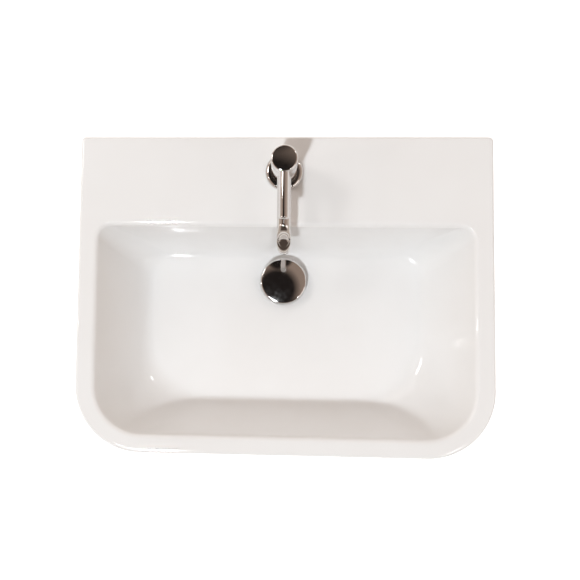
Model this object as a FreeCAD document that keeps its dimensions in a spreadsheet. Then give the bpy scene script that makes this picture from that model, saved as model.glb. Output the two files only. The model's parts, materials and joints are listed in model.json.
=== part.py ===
"""Wall hung basin with a deck-mounted single-lever tap and a push-to-close waste.

The frame has its origin midway between the two wall-fixing holes, on the wall plane. The wall is
y = 0, the basin reaches out towards -Y, and +Z is up. Lengths are millimetres, angles degrees.

Pieces of the tap are drawn about the tap's own axis with z = 0 on the deck, and pieces of the waste
about the waste's axis with z = 0 on the seat of its flange. Each piece's Placement moves it there.
"""

import FreeCAD
import Part

import math
import os
import re

import Sketcher

SIZES = [
    # basin
    ("basin_width", 550, "overall width along the wall"),
    ("basin_depth", 420, "wall to front edge"),
    ("rim_above_fixings", 75, "height of the rim over the wall-fixing holes"),
    ("front_corner_radius", 88, "outer front corners, seen from above"),
    ("back_corner_radius", 6, "outer back corners, seen from above"),
    ("rim_edge_radius", 4, "rounding of the rim's outer edge"),
    ("bowl_edge_radius", 7, "rounding between the rim and the bowl"),
    ("apron_height", 45, "upright band below the rim"),
    ("belly_height", 120, "half axis of the belly's curve, downwards"),
    ("belly_run_side", 120, "half axis of the belly's curve, inwards at the sides"),
    ("belly_run_front", 150, "half axis of the belly's curve, inwards at the front"),
    ("belly_end_angle", 60, "where the belly's curve stops, from its upright start"),
    ("skin_thickness", 10, "ceramic wall of the apron, belly and bowl"),
    ("deck_thickness", 16, "ceramic under the tap"),
    ("back_wall_thickness", 14, "ceramic against the wall"),
    ("deck_depth", 120, "wall to the bowl's back edge"),
    ("front_rim_width", 24, "bowl's front edge to the basin's front"),
    ("side_rim_width", 25, "bowl's side edge to the basin's side"),
    ("bowl_depth", 105, "rim to the floor, measured at the waste"),
    ("bowl_back_corner", 18, "bowl's back corners at the rim"),
    ("bowl_front_corner", 62, "bowl's front corners at the rim"),
    ("floor_back_corner", 34, "bowl's back corners at the floor"),
    ("floor_front_corner", 92, "bowl's front corners at the floor"),
    ("side_slope_run", 30, "how far the side walls lean inwards"),
    ("side_curve_run", 32, "how far the side walls then curve into the floor"),
    ("back_slope_run", 14, "how far the back wall leans forwards"),
    ("back_curve_run", 24, "how far the back wall then curves into the floor"),
    ("front_slope_run", 16, "how far the front wall leans backwards"),
    ("front_curve_run", 30, "how far the front wall then curves into the floor"),
    ("wall_curve_power", 2.6, "superellipse power of the curve into the floor"),
    ("floor_fall_angle", 1.5, "fall of the floor towards the waste"),
    ("boss_diameter", 82, "thick ring of ceramic round the waste"),
    ("boss_height", 45, "flange seat to the boss's underside"),
    ("waste_setback", 190, "wall to the waste's axis"),
    ("waste_hole_diameter", 46, "hole for the waste"),
    ("waste_recess_depth", 2.5, "sinking of the flange's seat below the floor"),
    ("waste_recess_gap", 1.5, "gap round the flange in its recess"),
    ("tap_setback", 48, "wall to the tap's axis"),
    ("tap_hole_diameter", 35, "hole for the tap"),
    ("fixing_spacing", 280, "between the two wall-fixing holes"),
    ("fixing_hole_diameter", 16, "wall-fixing hole in the ceramic"),
    ("pipe_notch_width", 220, "opening for pipes at the foot of the back wall"),
    ("pipe_notch_height", 40, "height of that opening"),
    ("overflow_diameter", 17, "overflow hole in the bowl's back wall"),
    ("overflow_below_rim", 36, "rim to the overflow hole's centre"),
    ("overflow_duct_width", 30, "inside width of the overflow duct"),
    ("overflow_duct_wall", 6, "ceramic round the overflow duct"),
    ("overflow_duct_gap", 12, "inside depth of the duct behind the bowl's edge"),
    ("overflow_duct_chamfer", 12, "slope where the duct turns to the waste"),
    # bushes in the wall-fixing holes
    ("bush_flange_diameter", 30, "flange of the wall-fixing bush"),
    ("bush_flange_thickness", 3, "thickness of that flange"),
    ("bush_bore_diameter", 10.5, "bore for an M10 stud"),
    # tap body and spout
    ("tap_body_diameter", 33, "upright body of the tap"),
    ("tap_foot_diameter", 42, "foot of the body, under the base ring"),
    ("tap_foot_height", 3, "top of that foot over the deck"),
    ("tap_spigot_diameter", 31, "part of the body inside the deck's hole"),
    ("tap_spigot_depth", 10, "how far it reaches below the deck's top"),
    ("base_ring_diameter", 50.5, "chrome ring round the tap's foot"),
    ("base_ring_top", 6.5, "deck to the ring's top face"),
    ("base_ring_edge", 2.2, "rounding of the ring's outer edge"),
    ("base_seal_thickness", 0.8, "flat seal between tap and deck"),
    ("spout_diameter", 17.5, "outside of the spout's tube"),
    ("spout_bore", 13, "inside of the spout's tube"),
    ("spout_under_seat", 1.25, "cartridge's seat to the top of the spout"),
    ("spout_reach", 102.5, "tap's axis to the outlet's axis"),
    ("spout_bend_radius", 28, "radius of the bend's centre line"),
    ("spout_drop", 3, "straight end below the bend"),
    ("spout_socket_start", 10, "tap's axis to the socket's bottom"),
    ("waterway_diameter", 6.4, "drilling from that way forwards to the spout"),
    ("inlet_diameter", 8.92, "core of the M10 x 1 inlet threads"),
    ("inlet_depth", 14, "depth of those threads"),
    ("inlet_offset", 6.2, "inlets to the left and right of the axis"),
    ("inlet_forward", 2, "inlets in front of the axis"),
    ("port_diameter", 4.4, "hot and cold ways up to the cartridge"),
    ("outlet_diameter", 5.6, "mixed water's way down"),
    ("outlet_behind", 5.5, "that way, behind the axis"),
    ("aerator_diameter", 15, "threaded seat of the aerator in the spout"),
    ("aerator_height", 5, "height of the aerator"),
    ("aerator_wall", 1.2, "wall of the aerator's ring"),
    ("straightener_thickness", 3, "perforated disc in the aerator"),
    ("straightener_hole", 2.2, "holes in that disc"),
    ("straightener_circle", 7.6, "circle that its outer holes lie on"),
    ("straightener_count", 6, "number of those holes"),
    # cartridge
    ("cartridge_seat", 57.5, "deck to the cartridge's seat"),
    ("cartridge_diameter", 25, "outside of the cartridge"),
    ("cartridge_gap", 0.4, "cartridge in its bore, on the diameter"),
    ("cartridge_wall", 1.25, "wall of the cartridge's housing"),
    ("cartridge_base_thickness", 4, "seat to the fixed disc"),
    ("port_seal_width", 0.8, "width of the O-rings round the ports"),
    ("port_seal_proud", 0.6, "how far they lift the cartridge off its seat"),
    ("port_seal_depth", 0.8, "how far they sit in the base"),
    ("disc_thickness", 3, "each ceramic disc"),
    ("disc_gap", 0.05, "running gap on the ceramic discs"),
    ("fixed_disc_gap", 0.75, "fixed ceramic disc in the housing, on the radius"),
    ("moving_disc_inset", 1.6, "how much smaller the moving disc is, on the radius"),
    ("disc_pocket_diameter", 8.6, "mixing pocket under the moving disc"),
    ("disc_pocket_behind", 3.8, "that pocket's centre behind the axis"),
    ("disc_pocket_depth", 1.2, "depth of that pocket"),
    ("disc_slot_size", 6, "slot on the moving disc for the spindle's end"),
    ("disc_slot_depth", 1.4, "depth of that slot"),
    ("pivot_rise", 4.9, "foot of the cartridge's rotating guide to the lever's lifting axis"),
    ("carrier_rise", 3.5, "lever's lifting axis to the top of the rotating guide"),
    ("carrier_gap", 0.1, "rotating guide in its housing, on the diameter"),
    ("housing_cap_thickness", 2.9, "inward flange on top of the housing"),
    ("housing_mouth_diameter", 17.2, "opening for the spindle"),
    ("cartridge_nut_shoulder", 0.6, "how far the nut over the cartridge reaches beyond it"),
    ("cartridge_nut_depth", 3.05, "housing's top to the body's top face"),
    ("cartridge_nut_dome", 1.4, "height of the nut's cone over the body's top"),
    ("cartridge_nut_flat", 1, "flat on top of the nut's cone"),
    # lever
    ("pivot_pin_diameter", 3, "pin that the lever lifts on"),
    ("pivot_pin_inset", 1.2, "how far its ends stay inside the rotating guide"),
    ("pivot_gap", 0.06, "running clearance on the pin, on the radius"),
    ("spindle_size", 6.6, "square spindle"),
    ("spindle_rise", 13.4, "cap's foot to the spindle's top"),
    ("spindle_nose_diameter", 4.2, "spindle's lower end in the moving disc"),
    ("spindle_slot_length", 13, "room for the spindle to tilt in the guide"),
    ("spindle_gap", 0.2, "spindle's sides in the guide and in the cap"),
    ("cap_gap", 0.8, "body's top to the cap"),
    ("cap_height", 17.2, "handle cap, as wide as the body"),
    ("cap_edge_radius", 2.4, "rounding of the cap's top edge"),
    ("cap_wall", 3.9, "wall round the hollow under the cap"),
    ("cap_cavity_depth", 5, "depth of that hollow"),
    ("lift_range", 20, "how far the lever lifts"),
    ("lever_diameter", 12.5, "lever's rod"),
    ("lever_rise", 8.4, "cap's foot to the rod's axis"),
    ("lever_reach", 73, "tap's axis to the rod's tip"),
    ("lever_seat_depth", 2.3, "how far the rod sits in the cap's side"),
    ("lever_tenon_diameter", 6, "threaded end of the rod"),
    ("lever_tenon_length", 6.2, "length of that end"),
    ("lever_tip_radius", 2.5, "rounding of the rod's tip"),
    ("grub_diameter", 4, "grub screw that clamps the cap to the spindle"),
    ("grub_rise", 11.2, "cap's foot to that screw's axis"),
    ("grub_recess", 3, "that screw's outer end to its cover"),
    ("grub_cover_diameter", 5, "cover over that screw"),
    ("grub_cover_depth", 2.5, "depth of that cover"),
    # fixings under the deck
    ("tap_stud_diameter", 8, "threaded stud that holds the tap down"),
    ("tap_stud_setback", 10.5, "stud's axis behind the tap's axis"),
    ("tap_stud_engagement", 11, "how far it screws into the body"),
    ("tap_stud_length", 75, "stud's whole length"),
    ("horseshoe_diameter", 48, "rubber and steel horseshoes"),
    ("horseshoe_slot", 27, "width of their slot for the hoses"),
    ("horseshoe_slot_end", 4, "end of that slot behind the tap's axis"),
    ("horseshoe_stud_gap", 0.8, "their hole over the stud, on the diameter"),
    ("deck_gasket_thickness", 3, "rubber horseshoe"),
    ("deck_washer_thickness", 2, "steel horseshoe"),
    ("tap_nut_flats", 13, "across flats of the long nut"),
    ("tap_nut_height", 14, "height of the long nut"),
    ("thread_gap", 0.05, "radial gap drawn between screwed pieces"),
    # waste
    ("flange_diameter", 63.5, "waste's flange"),
    ("flange_thickness", 2.8, "flange over its seal"),
    ("flange_seal_thickness", 1.2, "seal under the flange"),
    ("flange_dish_diameter", 59, "shallow cone in the flange's top"),
    ("flange_dish_depth", 1.8, "depth of that cone at the bore"),
    ("tail_diameter", 41.9, "G 1 1/4 thread of the waste's tail"),
    ("tail_bore", 36.4, "inside of the tail"),
    ("tail_length", 95, "flange seat to the tail's end"),
    ("tail_groove_height", 2, "run-out between the nut's thread and the trap's"),
    ("tail_groove_depth", 0.8, "depth of that groove"),
    ("overflow_slot_width", 10, "slots in the tail for overflow water"),
    ("overflow_slot_top", 18, "flange seat to the slots' top"),
    ("overflow_slot_height", 16, "height of the slots"),
    ("overflow_slot_count", 4, "number of slots"),
    ("spider_top", 26, "flange seat to the top of the cross inside"),
    ("spider_height", 6, "height of the cross"),
    ("spider_arm", 3, "width of the cross's arms"),
    ("spider_hub_diameter", 14, "hub of the cross"),
    ("guide_diameter", 14, "plug's guide"),
    ("guide_top", 2, "top of the guide over the flange seat"),
    ("guide_lip", 2, "inward lip that keeps the plunger in"),
    ("guide_floor", 3, "bottom of the guide"),
    ("guide_spigot_diameter", 8, "screwed end of the guide in the hub"),
    ("plunger_diameter", 8, "plunger's rod"),
    ("plunger_collar_diameter", 10.8, "collar that slides in the guide"),
    ("plunger_collar_height", 6, "height of that collar"),
    ("plunger_gap", 0.1, "plunger in its guide, on the diameter"),
    ("plug_travel", 8, "plug's stroke"),
    ("plug_stop_gap", 0.5, "flange to the closed plug"),
    ("plug_diameter", 66, "round plug"),
    ("plug_edge_height", 6.5, "thickness of the plug at its edge"),
    ("plug_crown", 3, "how much the plug's top rises to its middle"),
    ("plug_edge_radius", 2.8, "rounding of the plug's edge"),
    ("plug_socket_diameter", 13, "socket under the plug for the plunger"),
    ("plug_socket_depth", 2, "length of that socket"),
    ("plug_seal_diameter", 48, "rubber ring under the plug"),
    ("plug_seal_width", 5, "its width"),
    ("plug_seal_thickness", 1, "its thickness"),
    ("plug_wire", 0.9, "wire of the plug's spring"),
    ("plug_coils", 6, "turns of the plug's spring"),
    ("waste_gasket_diameter", 66, "rubber gasket under the boss"),
    ("waste_gasket_thickness", 5, "its thickness"),
    ("slip_washer_diameter", 64, "plastic washer under the gasket"),
    ("slip_washer_thickness", 2, "its thickness"),
    ("back_nut_flats", 55, "across flats of the waste's nut"),
    ("back_nut_height", 9, "its height"),
]

doc = FreeCAD.newDocument("wall_hung_basin")
sheet = doc.addObject("Spreadsheet::Sheet", "Sizes")
for row, (alias, amount, meaning) in enumerate(SIZES, 1):
    sheet.set(f"A{row}", meaning)
    sheet.set(f"B{row}", str(amount))
    sheet.setAlias(f"B{row}", alias)
doc.recompute()

ALIASES = {alias for alias, amount, meaning in SIZES}
BODIES = []
QUARTER = math.pi / 2
# how near an edge must lie to the place where it is looked for
NEAR = 0.01


# ---------------------------------------------------------------- sketch and feature helpers
def full(text):
    """Expression text with each size's alias turned into a reference to its cell."""
    return re.sub(r"[a-z][a-z0-9_]+", lambda m: "Sizes." + m[0] if m[0] in ALIASES else m[0], text)


def number(text):
    """What an expression is worth now; only used to draw a sketch near its final shape."""
    return float(BODIES[-1].evalExpression(full(text)))


def bind(thing, prop, text):
    thing.setExpression(prop, full(text))


def add_body(label, origin=("0", "0", "0")):
    """A new piece whose own origin lies at the given place in the basin's frame."""
    body = doc.addObject("PartDesign::Body", label)
    body.Label = label
    BODIES.append(body)
    for letter, text in zip("xyz", origin):
        bind(body, f"Placement.Base.{letter}", text)
    return body


def add_sketch(body, name, plane="XY_Plane", lift=None, turn=None):
    """An empty sketch on one of the body's own planes, lifted off it and turned about its X axis."""
    sketch = body.newObject("Sketcher::SketchObject", f"{body.Name}_{name}")
    support = [feature for feature in body.Origin.OriginFeatures if feature.Role == plane]
    sketch.AttachmentSupport = [(support[0], "")]
    sketch.MapMode = "FlatFace"
    if turn:
        tilt = FreeCAD.Rotation(FreeCAD.Vector(1, 0, 0), number(turn))
        sketch.AttachmentOffset = FreeCAD.Placement(FreeCAD.Vector(), tilt)
        bind(sketch, "AttachmentOffset.Rotation.Angle", turn)
    if lift:
        bind(sketch, "AttachmentOffset.Base.z", lift)
    return sketch


def fix(sketch, kind, geometry, end, text):
    """Holds one coordinate of a point at the worth of an expression."""
    rule = sketch.addConstraint(Sketcher.Constraint(kind, -1, 1, geometry, end, number(text)))
    bind(sketch, f"Constraints[{rule}]", text)


def draw_polygon(sketch, points):
    """A closed outline of straight lines, each corner held by two expressions."""
    first = sketch.GeometryCount
    corners = [FreeCAD.Vector(number(x), number(y), 0) for x, y in points]
    count = len(points)
    for k in range(count):
        sketch.addGeometry(Part.LineSegment(corners[k], corners[(k + 1) % count]), False)
    for k in range(count):
        following = first + (k + 1) % count
        sketch.addConstraint(Sketcher.Constraint("Coincident", first + k, 2, following, 1))
    for k, (x, y) in enumerate(points):
        fix(sketch, "DistanceX", first + k, 1, x)
        fix(sketch, "DistanceY", first + k, 1, y)


def draw_circle(sketch, diameter, x="0", y="0"):
    centre = FreeCAD.Vector(number(x), number(y), 0)
    radius = number(diameter) / 2
    edge = sketch.addGeometry(Part.Circle(centre, FreeCAD.Vector(0, 0, 1), radius), False)
    fix(sketch, "DistanceX", edge, 3, x)
    fix(sketch, "DistanceY", edge, 3, y)
    rule = sketch.addConstraint(Sketcher.Constraint("Radius", edge, radius))
    bind(sketch, f"Constraints[{rule}]", f"({diameter}) / 2")


def draw_box(sketch, left, right, low, high):
    draw_polygon(sketch, [(left, low), (right, low), (right, high), (left, high)])


def draw_basin_outline(sketch, half, back, front, back_radius, front_radius):
    """A plan outline: straight back, sides and front, joined by four tangent quarter circles."""
    w, b, f = number(half), number(back), number(front)
    rb, rf = number(back_radius), number(front_radius)
    point = FreeCAD.Vector
    up = point(0, 0, 1)

    def quarter(x, y, radius, start):
        circle = Part.Circle(point(x, y, 0), up, radius)
        return Part.ArcOfCircle(circle, start * QUARTER, (start + 1) * QUARTER)

    # counter-clockwise from the back edge; each piece's first end joins the last one's second end
    sketch.addGeometry(Part.LineSegment(point(w - rb, b, 0), point(-w + rb, b, 0)), False)
    sketch.addGeometry(quarter(-w + rb, b - rb, rb, 1), False)
    sketch.addGeometry(Part.LineSegment(point(-w, b - rb, 0), point(-w, f + rf, 0)), False)
    sketch.addGeometry(quarter(-w + rf, f + rf, rf, 2), False)
    sketch.addGeometry(Part.LineSegment(point(-w + rf, f, 0), point(w - rf, f, 0)), False)
    sketch.addGeometry(quarter(w - rf, f + rf, rf, 3), False)
    sketch.addGeometry(Part.LineSegment(point(w, f + rf, 0), point(w, b - rb, 0)), False)
    sketch.addGeometry(quarter(w - rb, b - rb, rb, 0), False)
    for k in range(8):
        sketch.addConstraint(Sketcher.Constraint("Tangent", k, 2, (k + 1) % 8, 1))
    for k, kind in ((0, "Horizontal"), (2, "Vertical"), (4, "Horizontal"), (6, "Vertical")):
        sketch.addConstraint(Sketcher.Constraint(kind, k))
    for k, radius in ((1, back_radius), (3, front_radius), (5, front_radius), (7, back_radius)):
        rule = sketch.addConstraint(Sketcher.Constraint("Radius", k, number(radius)))
        bind(sketch, f"Constraints[{rule}]", radius)
    fix(sketch, "DistanceY", 0, 1, back)
    fix(sketch, "DistanceX", 2, 1, f"-({half})")
    fix(sketch, "DistanceY", 4, 1, front)
    fix(sketch, "DistanceX", 6, 1, half)


def finish_feature(body, feature):
    body.Tip = feature
    doc.recompute()
    return feature


def pad(body, sketch, length, symmetric=False, downwards=False):
    feature = body.newObject("PartDesign::Pad", f"{sketch.Name}_pad")
    feature.Profile = sketch
    feature.SideType = "Symmetric" if symmetric else "One side"
    feature.Reversed = downwards
    bind(feature, "Length", length)
    return finish_feature(body, feature)


def pocket(body, sketch, length, symmetric=False, upwards=False):
    """Cuts against the sketch's normal, or along it where upwards is set."""
    feature = body.newObject("PartDesign::Pocket", f"{sketch.Name}_pocket")
    feature.Profile = sketch
    feature.SideType = "Symmetric" if symmetric else "One side"
    feature.Reversed = upwards
    bind(feature, "Length", length)
    return finish_feature(body, feature)


def revolve(body, name, points):
    """A turned piece: points are (radius, height) on the XZ plane."""
    sketch = add_sketch(body, name, "XZ_Plane")
    draw_polygon(sketch, points)
    feature = body.newObject("PartDesign::Revolution", f"{sketch.Name}_turned")
    feature.Profile = sketch
    feature.ReferenceAxis = (sketch, ["V_Axis"])
    return finish_feature(body, feature)


def loft(body, kind, name, sketches):
    feature = body.newObject(f"PartDesign::{kind}Loft", f"{body.Name}_{name}")
    feature.Profile = sketches[0]
    feature.Sections = sketches[1:]
    return finish_feature(body, feature)


def polar(body, feature, count):
    """Repeats a feature evenly about the piece's own upright axis."""
    pattern = body.newObject("PartDesign::PolarPattern", f"{feature.Name}_ring")
    pattern.Originals = [feature]
    axis = [line for line in body.Origin.OriginFeatures if line.Role == "Z_Axis"]
    pattern.Axis = (axis[0], [""])
    pattern.Angle = 360
    bind(pattern, "Occurrences", count)
    return finish_feature(body, pattern)


def fillet(body, radius, wanted):
    """Rounds the edges for which wanted(edge) is true."""
    base = body.Tip
    names = [f"Edge{k}" for k, edge in enumerate(base.Shape.Edges, 1) if wanted(edge)]
    if not names:
        raise ValueError(f"{body.Name}: no edge to round")
    feature = body.newObject("PartDesign::Fillet", f"{base.Name}_rounded")
    feature.Base = (base, names)
    bind(feature, "Radius", radius)
    return finish_feature(body, feature)


def is_ring(edge, diameter, height):
    """True for a full circle of this diameter about the piece's own axis at this height."""
    if not isinstance(edge.Curve, Part.Circle) or len(edge.Vertexes) != 1:
        return False
    centre = edge.Curve.Center
    on_axis = abs(centre.x) + abs(centre.y) < NEAR
    same = abs(edge.Curve.Radius - number(diameter) / 2) < NEAR
    return on_axis and same and abs(centre.z - number(height)) < NEAR


def ring_profile(outer, inner, low, high):
    """The section of a plain ring, with diameters across and heights up."""
    ro, ri = f"({outer}) / 2", f"({inner}) / 2"
    return [(ri, low), (ro, low), (ro, high), (ri, high)]


def draw_hexagon(sketch, flats, y="0"):
    corner = f"({flats}) / 2 / cos(30)"
    points = []
    for angle in range(0, 360, 60):
        points.append((f"{corner} * cos({angle})", f"{y} + {corner} * sin({angle})"))
    draw_polygon(sketch, points)


# ---------------------------------------------------------------- places
TAP = ("0", "-tap_setback", "rim_above_fixings")
SEAT_HEIGHT = "(rim_above_fixings - bowl_depth - waste_recess_depth)"
WASTE = ("0", "-waste_setback", SEAT_HEIGHT)


# ---------------------------------------------------------------- basin
def outer_section(body, name, inset, angle):
    """The belly's outline, or its inner skin's, at an angle round its quarter ellipse."""
    thick = "skin_thickness" if inset else "0"
    back = "-back_wall_thickness" if inset else "0"
    side_run = f"(belly_run_side - (belly_run_side - {thick}) * cos({angle}))"
    front_run = f"(belly_run_front - (belly_run_front - {thick}) * cos({angle}))"
    drop = f"(belly_height - {thick}) * sin({angle})"
    sketch = add_sketch(body, name, lift=f"rim_above_fixings - apron_height - {drop}")
    draw_basin_outline(
        sketch,
        f"basin_width / 2 - {side_run}",
        back,
        f"-basin_depth + {front_run}",
        "back_corner_radius",
        f"front_corner_radius - {thick}",
    )
    return sketch


def belly_loft(body, kind, name, inset, end):
    """The belly, or the hollow in it, from its upright start to the angle where it stops."""
    sections = []
    for k, share in enumerate(("0", "1 / 3", "2 / 3", "1")):
        sections.append(outer_section(body, f"{name}{k}", inset, f"({end} * {share})"))
    return loft(body, kind, name, sections)


def bowl_section(body, name, share, grow):
    """The bowl's outline a share of a right angle down its wall; grow makes its underside instead.

    The wall leans in evenly and also follows a superellipse, which turns it into the floor."""
    angle = f"({share} * 90)"
    down = f"pow(sin({angle}); 2 / wall_curve_power)"
    across = f"(1 - pow(cos({angle}); 2 / wall_curve_power))"
    depth = f"((bowl_depth + {grow}) * {down})"
    tilt = f"(floor_fall_angle * {down})"

    def run(side):
        return f"({side}_slope_run * {down} + {side}_curve_run * {across})"

    sketch = add_sketch(
        body,
        name,
        lift=f"rim_above_fixings - {depth} - waste_setback * sin({tilt})",
        turn=f"-{tilt}",
    )
    draw_basin_outline(
        sketch,
        f"basin_width / 2 - side_rim_width + {grow} - {run('side')}",
        f"-deck_depth + {grow} - {run('back')}",
        f"-basin_depth + front_rim_width - {grow} + {run('front')}",
        f"bowl_back_corner + {grow} + (floor_back_corner - bowl_back_corner) * {down}",
        f"bowl_front_corner + {grow} + (floor_front_corner - bowl_front_corner) * {down}",
    )
    return sketch


def bowl_loft(body, kind, name, grow):
    shares = ("0", "0.2", "0.4", "0.6", "0.8", "1")
    sections = [bowl_section(body, f"{name}{k}", s, grow) for k, s in enumerate(shares)]
    return loft(body, kind, name, sections)


def build_basin():
    body = add_body("basin")
    rim = add_sketch(body, "rim", lift="rim_above_fixings")
    draw_basin_outline(
        rim,
        "basin_width / 2",
        "0",
        "-basin_depth",
        "back_corner_radius",
        "front_corner_radius",
    )
    pad(body, rim, "apron_height", downwards=True)
    belly_loft(body, "Additive", "belly", False, "belly_end_angle")

    # the hollow under the deck and round the bowl, open at the bottom
    ceiling = add_sketch(body, "ceiling", lift="rim_above_fixings - deck_thickness")
    draw_basin_outline(
        ceiling,
        "basin_width / 2 - skin_thickness",
        "-back_wall_thickness",
        "-basin_depth + skin_thickness",
        "back_corner_radius",
        "front_corner_radius - skin_thickness",
    )
    pocket(body, ceiling, "apron_height - deck_thickness")
    inner_end = "asin(belly_height * sin(belly_end_angle) / (belly_height - skin_thickness))"
    belly_loft(body, "Subtractive", "hollow", True, inner_end)

    # overflow duct behind the bowl, and the boss round the waste
    duct_top = "rim_above_fixings - overflow_below_rim + overflow_diameter"
    duct_low = f"({SEAT_HEIGHT} - overflow_slot_top - overflow_slot_height)"
    duct_back = "(-deck_depth + skin_thickness + overflow_duct_gap)"

    def draw_duct(sketch, wall):
        slope = f"(overflow_duct_chamfer - {wall} * tan(22.5))"
        points = [
            (f"{duct_back} + {wall}", f"{duct_top} + {wall}"),
            (f"{duct_back} + {wall}", f"{duct_low} + {slope}"),
            (f"{duct_back} - {slope}", f"{duct_low} - {wall}"),
            ("-waste_setback", f"{duct_low} - {wall}"),
            ("-waste_setback", f"{duct_top} + {wall}"),
        ]
        draw_polygon(sketch, points)

    duct = add_sketch(body, "duct", "YZ_Plane")
    draw_duct(duct, "overflow_duct_wall")
    pad(body, duct, "overflow_duct_width + 2 * overflow_duct_wall", symmetric=True)
    boss = add_sketch(body, "boss", lift=SEAT_HEIGHT)
    draw_circle(boss, "boss_diameter", y="-waste_setback")
    pad(body, boss, "boss_height", downwards=True)
    duct_bore = add_sketch(body, "duct_bore", "YZ_Plane")
    draw_duct(duct_bore, "0")
    pocket(body, duct_bore, "overflow_duct_width", symmetric=True)

    # the bowl
    bowl_loft(body, "Additive", "shell", "skin_thickness")
    bowl_loft(body, "Subtractive", "bowl", "0")
    rim_height = number("rim_above_fixings")
    bowl_front = number("-basin_depth + front_rim_width")
    bowl_back = number("-deck_depth")
    bowl_half = number("basin_width / 2 - side_rim_width")

    def on_rim(edge):
        box = edge.BoundBox
        return abs(box.ZMin - rim_height) < NEAR and abs(box.ZMax - rim_height) < NEAR

    def round_bowl(edge):
        box = edge.BoundBox
        across = max(abs(box.XMin), abs(box.XMax)) < bowl_half + NEAR
        return on_rim(edge) and across and box.YMin > bowl_front - NEAR and box.YMax < bowl_back + NEAR

    fillet(body, "bowl_edge_radius", round_bowl)
    fillet(body, "rim_edge_radius", lambda edge: on_rim(edge) and not round_bowl(edge))

    # holes
    waste_hole = add_sketch(body, "waste_hole", lift=SEAT_HEIGHT)
    draw_circle(waste_hole, "waste_hole_diameter", y="-waste_setback")
    pocket(body, waste_hole, "boss_height")
    recess = add_sketch(body, "waste_recess", lift=SEAT_HEIGHT)
    draw_circle(recess, "flange_diameter + 2 * waste_recess_gap", y="-waste_setback")
    pocket(body, recess, "skin_thickness + waste_recess_depth", upwards=True)
    overflow = add_sketch(body, "overflow", "XZ_Plane", lift="deck_depth")
    draw_circle(overflow, "overflow_diameter", y="rim_above_fixings - overflow_below_rim")
    pocket(body, overflow, "2 * skin_thickness + overflow_duct_gap", symmetric=True)
    tap_hole = add_sketch(body, "tap_hole", lift="rim_above_fixings")
    draw_circle(tap_hole, "tap_hole_diameter", y="-tap_setback")
    pocket(body, tap_hole, "deck_thickness")
    fixing_hole = add_sketch(body, "fixing_hole", "XZ_Plane", lift="back_wall_thickness")
    draw_circle(fixing_hole, "fixing_hole_diameter", x="fixing_spacing / 2")
    draw_circle(fixing_hole, "fixing_hole_diameter", x="-fixing_spacing / 2")
    pocket(body, fixing_hole, "back_wall_thickness")
    notch = add_sketch(body, "pipe_notch", "XZ_Plane", lift="back_wall_thickness")
    foot = "(rim_above_fixings - apron_height - belly_height * sin(belly_end_angle))"
    half_notch = "pipe_notch_width / 2"
    notch_low = f"{foot} - back_wall_thickness"
    draw_box(notch, f"-{half_notch}", half_notch, notch_low, f"{foot} + pipe_notch_height")
    pocket(body, notch, "back_wall_thickness")


def build_fixing_bushes():
    """A flanged sleeve in each wall-fixing hole, put in from inside."""
    body = add_body("fixing_bushes")
    sleeve = add_sketch(body, "sleeve", "XZ_Plane")
    flange = add_sketch(body, "flange", "XZ_Plane", lift="back_wall_thickness")
    bore = add_sketch(body, "bore", "XZ_Plane")
    for side in ("fixing_spacing / 2", "-fixing_spacing / 2"):
        draw_circle(sleeve, "fixing_hole_diameter - 2 * thread_gap", x=side)
        draw_circle(flange, "bush_flange_diameter", x=side)
        draw_circle(bore, "bush_bore_diameter", x=side)
    pad(body, sleeve, "back_wall_thickness")
    pad(body, flange, "bush_flange_thickness")
    pocket(body, bore, "back_wall_thickness + bush_flange_thickness", upwards=True)


# ---------------------------------------------------------------- tap: body and spout
CARTRIDGE_BASE_LOW = "(cartridge_seat + port_seal_proud)"
FIXED_DISC_LOW = "(cartridge_seat + cartridge_base_thickness)"
FIXED_DISC_TOP = f"({FIXED_DISC_LOW} + disc_thickness)"
MOVING_DISC_LOW = f"({FIXED_DISC_TOP} + disc_gap)"
MOVING_DISC_TOP = f"({MOVING_DISC_LOW} + disc_thickness)"
CARRIER_LOW = f"({MOVING_DISC_TOP} + disc_gap)"
CARRIER_HEIGHT = "(pivot_rise + carrier_rise)"
CARRIER_TOP = f"({CARRIER_LOW} + {CARRIER_HEIGHT})"
PIVOT_HEIGHT = f"({CARRIER_LOW} + pivot_rise)"
HOUSING_TOP = f"({CARRIER_TOP} + disc_gap + housing_cap_thickness)"
BODY_TOP = f"({HOUSING_TOP} + cartridge_nut_depth)"
CAP_LOW = f"({BODY_TOP} + cap_gap)"
CAP_CEILING = f"({CAP_LOW} + cap_cavity_depth)"
CAP_TOP = f"({CAP_LOW} + cap_height)"
SPINDLE_TOP = f"({CAP_LOW} + spindle_rise)"
LEVER_HEIGHT = f"({CAP_LOW} + lever_rise)"
LEVER_SEAT = "(tap_body_diameter / 2 - lever_seat_depth)"
TENON_START = f"({LEVER_SEAT} - lever_tenon_length)"
GRUB_HEIGHT = f"({CAP_LOW} + grub_rise)"
GRUB_END = "(tap_body_diameter / 2 - grub_cover_depth - grub_recess)"
HOUSING_BORE = "(cartridge_diameter - 2 * cartridge_wall)"
CARRIER_DIAMETER = f"({HOUSING_BORE} - carrier_gap)"
FIXED_DISC_DIAMETER = f"({HOUSING_BORE} - 2 * fixed_disc_gap)"
MOVING_DISC_DIAMETER = f"({FIXED_DISC_DIAMETER} - 2 * moving_disc_inset)"
PIN_LENGTH = f"({CARRIER_DIAMETER} - 2 * pivot_pin_inset)"
NUT_RADIUS = "(cartridge_diameter / 2 + cartridge_nut_shoulder)"
SPOUT_HEIGHT = "(cartridge_seat - spout_under_seat - spout_diameter / 2)"
OUTLET_HEIGHT = f"({SPOUT_HEIGHT} - spout_bend_radius - spout_drop)"


def draw_inlets(sketch, diameter):
    for side in ("inlet_offset", "-inlet_offset"):
        draw_circle(sketch, diameter, x=side, y="-inlet_forward")


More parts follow.
